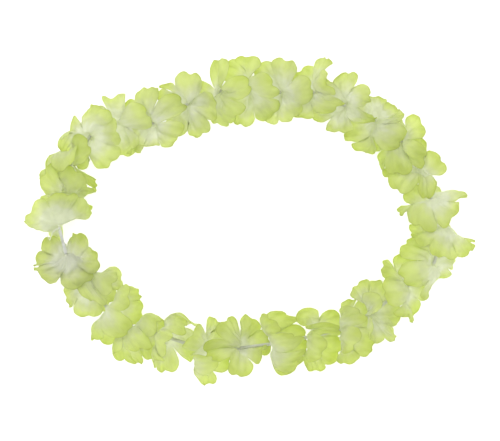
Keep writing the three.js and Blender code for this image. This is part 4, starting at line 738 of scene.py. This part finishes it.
def plain_shares():
    """Each point of the flat cut as shares of three plain points."""
    flat = np.stack([PLAIN[1] * np.cos(np.radians(PLAIN[0])), PLAIN[1] * np.sin(np.radians(PLAIN[0]))], 1)
    inner, outer = plain_faces()
    best = np.full(len(RADIUS), -1e9)
    three = np.zeros((len(RADIUS), 3), int)
    share = np.zeros((len(RADIUS), 3))
    for p, t in [(-1, t) for t in inner] + outer:
        a, b, c = flat[list(t)]
        whole = (b[0] - a[0]) * (c[1] - a[1]) - (b[1] - a[1]) * (c[0] - a[0])
        q = CUT_XY - a
        wb = (q[:, 0] * (c[1] - a[1]) - q[:, 1] * (c[0] - a[0])) / whole
        wc = ((b[0] - a[0]) * q[:, 1] - (b[1] - a[1]) * q[:, 0]) / whole
        w = np.stack([1 - wb - wc, wb, wc], 1)
        mine = (RADIUS <= NOTCH_RADIUS) if p < 0 else (RADIUS > NOTCH_RADIUS - 0.7) & ((PETAL == p) | (RADIUS <= NOTCH_RADIUS))
        better = mine & (w.min(1) > best)
        best[better] = w.min(1)[better]
        three[better] = t
        share[better] = w[better]
    # the cut's rounded outline stands a little outside those faces, so it is drawn in
    inside = np.clip(share, 0, None)
    inside /= inside.sum(1)[:, None]
    return three, 0.85 * inside + 0.15 * share


PLAIN_THREE, PLAIN_SHARE = plain_shares()


def smooth_surfaces():
    return [flower_surface(i, ANGLE, RADIUS, PETAL, OFF) for i in range(COUNT)]


def parted(surfaces, tubes):
    """The surfaces, with every two that crossed eased back onto the solid flowers' faces there."""
    plain = [(flower_surface(i, *PLAIN)[PLAIN_THREE] * PLAIN_SHARE[:, :, None]).sum(1) for i in range(COUNT)]
    tris = TRIS.tolist()
    crossed = [set() for _ in range(COUNT)]
    out = list(surfaces)
    for turn in range(4):
        trees = [BVHTree.FromPolygons(p.tolist(), tris) for p in out]
        found = 0
        for i in range(COUNT):
            for j in range(i + 1, COUNT):
                if not near_boxes(out[i], out[j], 0.5):
                    continue
                pairs = trees[i].overlap(trees[j])
                mine, theirs = {v for a, _ in pairs for v in tris[a]}, {v for _, b in pairs for v in tris[b]}
                for one, tree, marks, other in ((i, trees[j], mine, theirs), (j, trees[i], theirs, mine)):
                    for v, p in enumerate(out[one]):
                        hit = tree.find_nearest(p, TOO_NEAR)
                        if hit[0] is not None:
                            marks.add(v)
                            other.update(tris[hit[2]])
                found += len(mine - crossed[i]) + len(theirs - crossed[j])
                crossed[i] |= mine
                crossed[j] |= theirs
            for tube in tubes.values():
                for a, _ in trees[i].overlap(tube):
                    far = [v for v in tris[a] if RADIUS[v] > PINCH_RADIUS + 1]
                    found += len(set(far) - crossed[i])
                    crossed[i].update(far)
        if not found:
            break
        for i in range(COUNT):
            if crossed[i]:
                d = np.min(np.linalg.norm(CUT_XY[:, None] - CUT_XY[sorted(crossed[i])][None], axis=2), 1)
                w = (1 - smooth(d, 2.0 + turn, 8.0 + turn))[:, None]
                out[i] = surfaces[i] * (1 - w) + plain[i] * w
    return out


RING_AT = {r: np.flatnonzero(np.isclose(RADIUS, r)) for r in INNER}


def spare_cloth(pts):
    """How much longer the flat ring is than the ring as it lies, at each radius."""
    rs, out = [], []
    for r in INNER[2:]:
        k = RING_AT[r]
        p = pts[k]
        length = np.linalg.norm(np.roll(p, -1, 0) - p, axis=1).sum()
        rs.append(r)
        out.append(max(0.0, 2 * math.pi * r / max(length, 1e-6) - 1))
    return np.interp(RADIUS, rs, out)


def folds(i, pts):
    """How far each point stands off the smooth surface, in mm: gathers, creases, ruffles."""
    rng = np.random.default_rng(400 + i)
    th = np.radians(ANGLE)
    r = RADIUS
    x, y = CUT_XY.T
    out = np.zeros(len(r))
    # gathers round the thread: as deep as the spare cloth needs
    spare = spare_cloth(pts)
    count = rng.integers(10, 14)
    wave = np.zeros(len(r))
    for _ in range(3):
        m = int(count + rng.integers(-3, 4))
        wave += rng.uniform(0.5, 1.0) * np.cos(m * th + rng.uniform(0, 6.28) + 0.05 * (r - 6) * rng.uniform(-1, 1))
    wave /= 1.6
    depth = (2 * math.pi * r / count) / math.pi * np.sqrt(np.clip(spare, 0.02, 0.35))
    out += np.clip(depth, 0, 0.9) * wave * smooth(r, 3.2, 8) * (1 - 0.8 * smooth(r, 15, 29))
    # pleats along each petal, running out from the gathers
    for p in range(PETALS):
        mine = PETAL == p
        c = math.radians(60 * p)
        tang = -x * math.sin(c) + y * math.cos(c)
        radial = x * math.cos(c) + y * math.sin(c)
        lay = rng.uniform(0.3, 0.65) * np.cos(2 * math.pi * tang / rng.uniform(6.5, 10.5) + rng.uniform(0, 6.28) + rng.uniform(-1.2, 1.2) * (radial - 20) / 12)
        out += np.where(mine, lay * smooth(radial, 9, 19) * (1 - smooth(np.abs(OFF), 22, 30)) * (1 - 0.4 * smooth(radial, 29, 36)), 0)
    # one soft crease down most petals
    for p in range(PETALS):
        if rng.random() < 0.25:
            continue
        c = math.radians(60 * p + rng.uniform(-9, 9))
        tang = -x * math.sin(c) + y * math.cos(c)
        radial = x * math.cos(c) + y * math.sin(c)
        amp = rng.uniform(0.35, 0.9) * rng.choice([-1, 1])
        out += amp * np.exp(-np.abs(tang) / rng.uniform(1.3, 2.6)) * smooth(radial, 6, 16) * (1 - 0.7 * smooth(radial, 28, 35))
    # a few creases right across, from being packed
    for _ in range(3):
        c = rng.uniform(0, math.pi)
        off = rng.uniform(-22, 22)
        dist = x * math.cos(c) + y * math.sin(c) - off
        along_it = -x * math.sin(c) + y * math.cos(c)
        reach = np.exp(-((along_it - rng.uniform(-15, 15)) / rng.uniform(9, 20)) ** 2)
        out += rng.uniform(0.4, 0.95) * rng.choice([-1, 1]) * np.exp(-np.abs(dist) / rng.uniform(1.2, 2.4)) * reach * smooth(r, 5, 12)
    # slow, soft waves
    for lam, amp in ((26, 0.5), (19, 0.42), (13, 0.36), (9, 0.22), (6.5, 0.12)):
        c, ph = rng.uniform(0, 6.28, 2)
        out += amp * np.sin((x * math.cos(c) + y * math.sin(c)) * 2 * math.pi / lam + ph) * smooth(r, 4, 12)
    # a little lift at one edge of each petal, so that neighbours' edges part
    lift = rng.uniform(0.1, 0.4, PETALS) * np.where(rng.random(PETALS) < 0.8, 1, -1)
    out += lift[PETAL] * (OFF / 30) ** 3 * smooth(r, 18.5, 27)
    # ruffled ends
    arc = th * FLOWER_RADIUS
    ruffle = np.zeros(len(r))
    for m in (13, 19, 26):
        ruffle += rng.uniform(0.3, 1.0) * np.sin(m * th + rng.uniform(0, 6.28))
    out += 0.7 * ruffle * smooth(r, 21, 36)
    # the very ends curl up or down
    curl = rng.uniform(0.2, 1.3, PETALS) * rng.choice([-1, 1], PETALS)
    sway = rng.uniform(-0.6, 0.6, PETALS)
    out += curl[PETAL] * (1 + sway[PETAL] * OFF / 15) * smooth(r, 26, 38)
    return out


def near_boxes(a, b, gap):
    return bool(np.all(a.min(0) - gap < b.max(0)) and np.all(b.min(0) - gap < a.max(0)))


def room(i, surfaces, trees, tube_trees):
    """How far each point of a flower may stand off its smooth surface: less than half way to the next cloth, and clear of the straws."""
    pts = surfaces[i]
    free = np.full(len(pts), 9.0)
    for j, other in enumerate(surfaces):
        if j == i or not near_boxes(pts, other, 6.0):
            continue
        for k, p in enumerate(pts):
            hit = trees[j].find_nearest(p, 6.0)
            if hit[0] is not None:
                free[k] = min(free[k], 0.5 * hit[3] - CLOTH_HALF - 0.04)
    for j, tree in tube_trees.items():
        for k in np.flatnonzero(RADIUS > FOLD_RADIUS):
            hit = tree.find_nearest(pts[k], 4.0)
            if hit[0] is not None:
                free[k] = min(free[k], hit[3] - CLOTH_HALF - 0.1)
    # and the flower's own cloth, where it comes back past itself
    near = KDTree(len(pts))
    for k, p in enumerate(pts):
        near.insert(p, k)
    near.balance()
    for k, p in enumerate(pts):
        for _, m, d in near.find_range(p, 3.2):
            if d < 0.36 * math.dist(CUT_XY[k], CUT_XY[m]):
                free[k] = min(free[k], 0.5 * d - CLOTH_HALF)
    return np.clip(free, 0.03, None)


def tube_tree(j):
    d = along(j)
    start, end = MIDDLES[j] + d * STRAW_END_GAP, MIDDLES[(j + 1) % COUNT] - d * STRAW_END_GAP
    side = unit(np.cross(d, (0.0, 0.0, 1.0)))
    up = np.cross(side, d)
    around = [STRAW_RADIUS * (math.cos(t) * side + math.sin(t) * up) for t in np.arange(12) * math.pi / 6]
    verts = [start + v for v in around] + [end + v for v in around]
    return BVHTree.FromPolygons([v.tolist() for v in verts], [[k, (k + 1) % 12, 12 + (k + 1) % 12, 12 + k] for k in range(12)])


def make_flower(i):
    pts = SURFACES[i]
    normal = point_normals(pts)
    free = room(i, SURFACES, TREES, TUBE_TREES)
    pts = pts + normal * (free * np.tanh(folds(i, pts) / free))[:, None]
    normal = point_normals(pts)
    front, back = pts + normal * CLOTH_HALF, pts - normal * CLOTH_HALF
    verts = np.vstack([front, back])
    verts[:, 2] = np.where(verts[:, 2] < 0.5, 0.25 + 0.25 * np.exp(verts[:, 2] / 0.5 - 1), verts[:, 2])
    n = len(pts)
    faces = list(CUT_FACES)
    faces += [[v + n for v in reversed(f)] for f in CUT_FACES]
    faces += [[b, a, a + n, b + n] for a, b in RIM]
    uvs = np.vstack([CUT_UV, CUT_UV])
    name = "flower_%02d" % (i + 1)
    piece = put("cloth_" + name, verts, faces, CLOTHS[i], uvs, edge=np.concatenate([EDGE, EDGE]))
    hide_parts(name)
    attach(piece, "root")
    return piece


TUBE_TREES = {j: tube_tree(j) for j in range(COUNT - 1)}
SURFACES = parted(smooth_surfaces(), TUBE_TREES)
TREES = [BVHTree.FromPolygons(p.tolist(), CUT_FACES) for p in SURFACES]
flowers = [make_flower(i) for i in range(COUNT)]


# ------------------------------------------------------------------ straws
def frames(path, closed=False):
    """Directions along a path and a side direction that turns as little as it can."""
    path = np.asarray(path, float)
    if closed:
        t = unit(np.roll(path, -1, 0) - np.roll(path, 1, 0))
    else:
        t = unit(np.gradient(path, axis=0))
    side = unit(np.cross(t[0], (0.0, 0.0, 1.0)))
    out = []
    for k in range(len(path)):
        side = unit(side - (side @ t[k]) * t[k])
        out.append(side)
    side = np.array(out)
    return t, side, np.cross(side, t)


def sweep(path, radius, sides, closed=False, lobes=0.0, pitch=4.0, caps=True):
    """A tube along a path; lobes twists two plies round each other. radius is a number or one each point."""
    path = np.asarray(path, float)
    t, a, b = frames(path, closed)
    step = np.linalg.norm(np.diff(path, axis=0), axis=1)
    run = np.concatenate([[0], np.cumsum(step)])
    radius = np.broadcast_to(np.asarray(radius, float), (len(path),))
    phi = np.arange(sides) / sides * 2 * math.pi
    turn = run / pitch * 2 * math.pi
    rad_at = radius[:, None] * (1 - lobes * (0.5 - 0.5 * np.cos(2 * (phi[None, :] - turn[:, None]))))
    ring = path[:, None, :] + rad_at[..., None] * (np.cos(phi)[None, :, None] * a[:, None, :] + np.sin(phi)[None, :, None] * b[:, None, :])
    verts = ring.reshape(-1, 3)
    n = len(path)
    faces = []
    for k in range(n if closed else n - 1):
        m = (k + 1) % n
        for j in range(sides):
            l = (j + 1) % sides
            faces.append([k * sides + j, k * sides + l, m * sides + l, m * sides + j])
    if not closed and caps:
        c = len(verts)
        verts = np.vstack([verts, path[0], path[-1]])
        for j in range(sides):
            l = (j + 1) % sides
            faces.append([c, l, j])
            faces.append([c + 1, (n - 1) * sides + j, (n - 1) * sides + l])
    # outward
    if len(faces):
        tri = [(f[0], f[1], f[2]) for f in faces] + [(f[0], f[2], f[3]) for f in faces if len(f) == 4]
        tri = np.array(tri)
        o = verts.mean(0)
        p = verts - o
        vol = np.einsum("ij,ij->i", p[tri[:, 0]], np.cross(p[tri[:, 1]], p[tri[:, 2]])).sum()
        if vol < 0:
            faces = [f[::-1] for f in faces]
    return verts, faces


def make_straw(i):
    rng = np.random.default_rng(900 + i)
    d = along(i)
    start = MIDDLES[i] + d * (KNOT_STRAW_GAP if i == 0 else STRAW_END_GAP)
    end = MIDDLES[(i + 1) % COUNT] - d * STRAW_END_GAP
    length = np.linalg.norm(end - start)
    side = unit(np.cross(d, (0.0, 0.0, 1.0)))
    up = np.cross(side, d)
    n = 28
    s = np.concatenate([[0, 0.15, 0.5], np.linspace(1.2, length - 1.2, 12 if i else 70), [length - 0.5, length - 0.15, length]])
    outer = np.full(len(s), STRAW_RADIUS - 0.03)
    outer[[0, -1]] -= 0.09
    if i == 0:
        # the ribbed neck of a bending straw, cut in with the rest
        ribs = (s > 6.3) & (s < 13.2)
        outer = np.where(ribs, STRAW_RADIUS - 0.28 + 0.26 * np.cos((s - 6.3) * 2 * math.pi / 1.15), outer)
    inner = outer - STRAW_WALL
    phi = np.arange(n) / n * 2 * math.pi
    oval = 1 + 0.045 * np.cos(2 * (phi - rng.uniform(0, 3.14)))
    oval = np.minimum(oval, 1.0 + 0.02)
    skew0, skew1 = rng.uniform(-0.35, 0.35, 2)

    def ring(at, r, skew):
        shift = skew * np.cos(phi + 1.0)
        return start + d * (at + shift)[:, None] + (r * oval)[:, None] * (np.cos(phi)[:, None] * side + np.sin(phi)[:, None] * up)

    verts, uvs = [], []
    loop = [(k, outer[k]) for k in range(len(s))] + [(k, inner[k]) for k in range(len(s) - 1, -1, -1)]
    for k, r in loop:
        near0, near1 = math.exp(-s[k] / 2.0), math.exp(-(length - s[k]) / 2.0)
        verts.append(ring(s[k], r, skew0 * near0 * 0.6 + skew1 * near1 * 0.6))
        uvs.append(np.stack([np.full(n, s[k] / 40), phi / 6.2832], 1))
    verts = np.vstack(verts)
    uvs = np.vstack(uvs)
    m = len(loop)
    faces = []
    for k in range(m):
        q = (k + 1) % m
        for j in range(n):
            l = (j + 1) % n
            faces.append([k * n + j, k * n + l, q * n + l, q * n + j])
    tri = np.array([(f[0], f[1], f[2]) for f in faces] + [(f[0], f[2], f[3]) for f in faces])
    p = verts - verts.mean(0)
    if np.einsum("ij,ij->i", p[tri[:, 0]], np.cross(p[tri[:, 1]], p[tri[:, 2]])).sum() < 0:
        faces = [f[::-1] for f in faces]
    name = "spacer_tube_%02d" % (i + 1)
    piece = put("straw_%02d" % (i + 1), verts, faces, STRAW, uvs)
    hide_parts(name)
    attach(piece, "root")
    return piece


straws = [make_straw(i) for i in range(COUNT - 1)]


# ------------------------------------------------------------------ thread
def thread_path():
    """Through every flower, straight in the straws, with its corners eased at the flowers."""
    out = []
    for i in range(COUNT):
        a, b = MIDDLES[i], MIDDLES[(i + 1) % COUNT]
        prev = MIDDLES[(i - 1) % COUNT]
        for t in (-0.5, 0.0, 0.5):
            p = a + (unit(b - a) * max(t, 0) - unit(a - prev) * max(-t, 0)) * 2.0
            out.append(p * 1.0)
        length = np.linalg.norm(b - a)
        k = int((length - 2.4) / 0.9)
        for u in np.linspace(1.2, length - 1.2, k):
            out.append(a + unit(b - a) * u)
    return np.array(out)


def make_thread():
    verts, faces = sweep(thread_path(), THREAD_RADIUS, 10, closed=True, lobes=0.3, pitch=3.2)
    parts = [(verts, faces)]
    d = along(0)
    side = unit(np.cross(d, (0.0, 0.0, 1.0)))
    up = np.cross(side, d)
    knot = MIDDLES[0] + d * KNOT_AT
    t = np.linspace(0, 2 * math.pi, 72, endpoint=False)
    tre = np.stack([np.sin(t) + 2 * np.sin(2 * t), np.cos(t) - 2 * np.cos(2 * t), -1.3 * np.sin(3 * t)], 1)
    tre = tre / 3.0 * 1.12
    parts.append(sweep(knot + tre[:, 0:1] * side + tre[:, 1:2] * up + tre[:, 2:3] * d * 0.9, 0.47, 10, closed=True, lobes=0.25, pitch=1.6))
    pts = np.array([knot] + [np.array(p, float) for p in TAIL_PATH])
    # Catmull-Rom through the tail's points
    ext = np.vstack([2 * pts[0] - pts[1], pts, 2 * pts[-1] - pts[-2]])
    path = []
    for k in range(1, len(ext) - 2):
        for u in np.linspace(0, 1, 14, endpoint=k == len(ext) - 3):
            p0, p1, p2, p3 = ext[k - 1 : k + 3]
            path.append(0.5 * (2 * p1 + (p2 - p0) * u + (2 * p0 - 5 * p1 + 4 * p2 - p3) * u * u + (3 * p1 - p0 - 3 * p2 + p3) * u**3))
    path = np.array(path)
    parts.append(sweep(path, np.linspace(0.44, 0.36, len(path)), 10, lobes=0.3, pitch=3.0))
    # its cut end frays into a few fibres
    rng = np.random.default_rng(31)
    tip, way = path[-1], unit(path[-1] - path[-3])
    for _ in range(5):
        spread = unit(way + rng.normal(size=3) * 0.35)
        u = np.linspace(-0.4, 1.0, 6)[:, None]
        fibre = tip + spread * u * 1.5 + np.outer(u[:, 0] ** 2, rng.normal(size=3) * 0.25)
        parts.append(sweep(fibre, np.linspace(0.13, 0.05, 6), 6))
    all_v, all_f, n = [], [], 0
    for v, f in parts:
        all_v.append(v)
        all_f += [[k + n for k in face] for face in f]
        n += len(v)
    piece = put("thread_loop", np.vstack(all_v), all_f, THREAD)
    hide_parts("string_loop")
    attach(piece, "root")
    return piece


thread = make_thread()

# ------------------------------------------------------------------ stage
floor_mesh = bpy.data.meshes.new("floor")
floor_mesh.from_pydata([(-4, -4, 0), (4, -4, 0), (4, 4, 0), (-4, 4, 0)], [], [(0, 1, 2, 3)])
floor = bpy.data.objects.new("floor", floor_mesh)
scene.collection.objects.link(floor)
floor_material, tree = nodes_of("floor_paper")
paper = tree.nodes.new("ShaderNodeBsdfPrincipled")
paper.inputs["Base Color"].default_value = (0.93, 0.93, 0.93, 1)
paper.inputs["Roughness"].default_value = 0.9
paper.inputs["Specular IOR Level"].default_value = 0.0
paper.inputs["Emission Color"].default_value = (1, 1, 1, 1)
paper.inputs["Emission Strength"].default_value = 0.55
out = tree.nodes.new("ShaderNodeOutputMaterial")
link(tree, paper.outputs[0], out.inputs["Surface"])
floor_mesh.materials.append(floor_material)

world = bpy.data.worlds.new("studio")
world.use_nodes = True
world.node_tree.nodes["Background"].inputs["Color"].default_value = (1.0, 1.0, 1.0, 1.0)
world.node_tree.nodes["Background"].inputs["Strength"].default_value = 0.842
scene.world = world


def area_light(name, place, aim, size, power):
    light = bpy.data.lights.new(name, "AREA")
    light.shape = "DISK"
    light.size = size
    light.energy = power
    holder = bpy.data.objects.new(name, light)
    holder.location = place
    way = np.array(aim, float) - np.array(place, float)
    yaw, pitch = math.atan2(way[1], way[0]), math.acos(-way[2] / np.linalg.norm(way))
    holder.rotation_euler = (0.0, -pitch, yaw) if abs(way[0]) + abs(way[1]) > 1e-6 else (0.0, 0.0, 0.0)
    scene.collection.objects.link(holder)


area_light("key_soft", (-0.5, 0.7, 2.3), (0, 0, 0), 1.4, 10.0)

scene.view_settings.view_transform = "Standard"
scene.view_settings.look = "None"
scene.view_settings.exposure = 0.0
scene.view_settings.gamma = 1.0
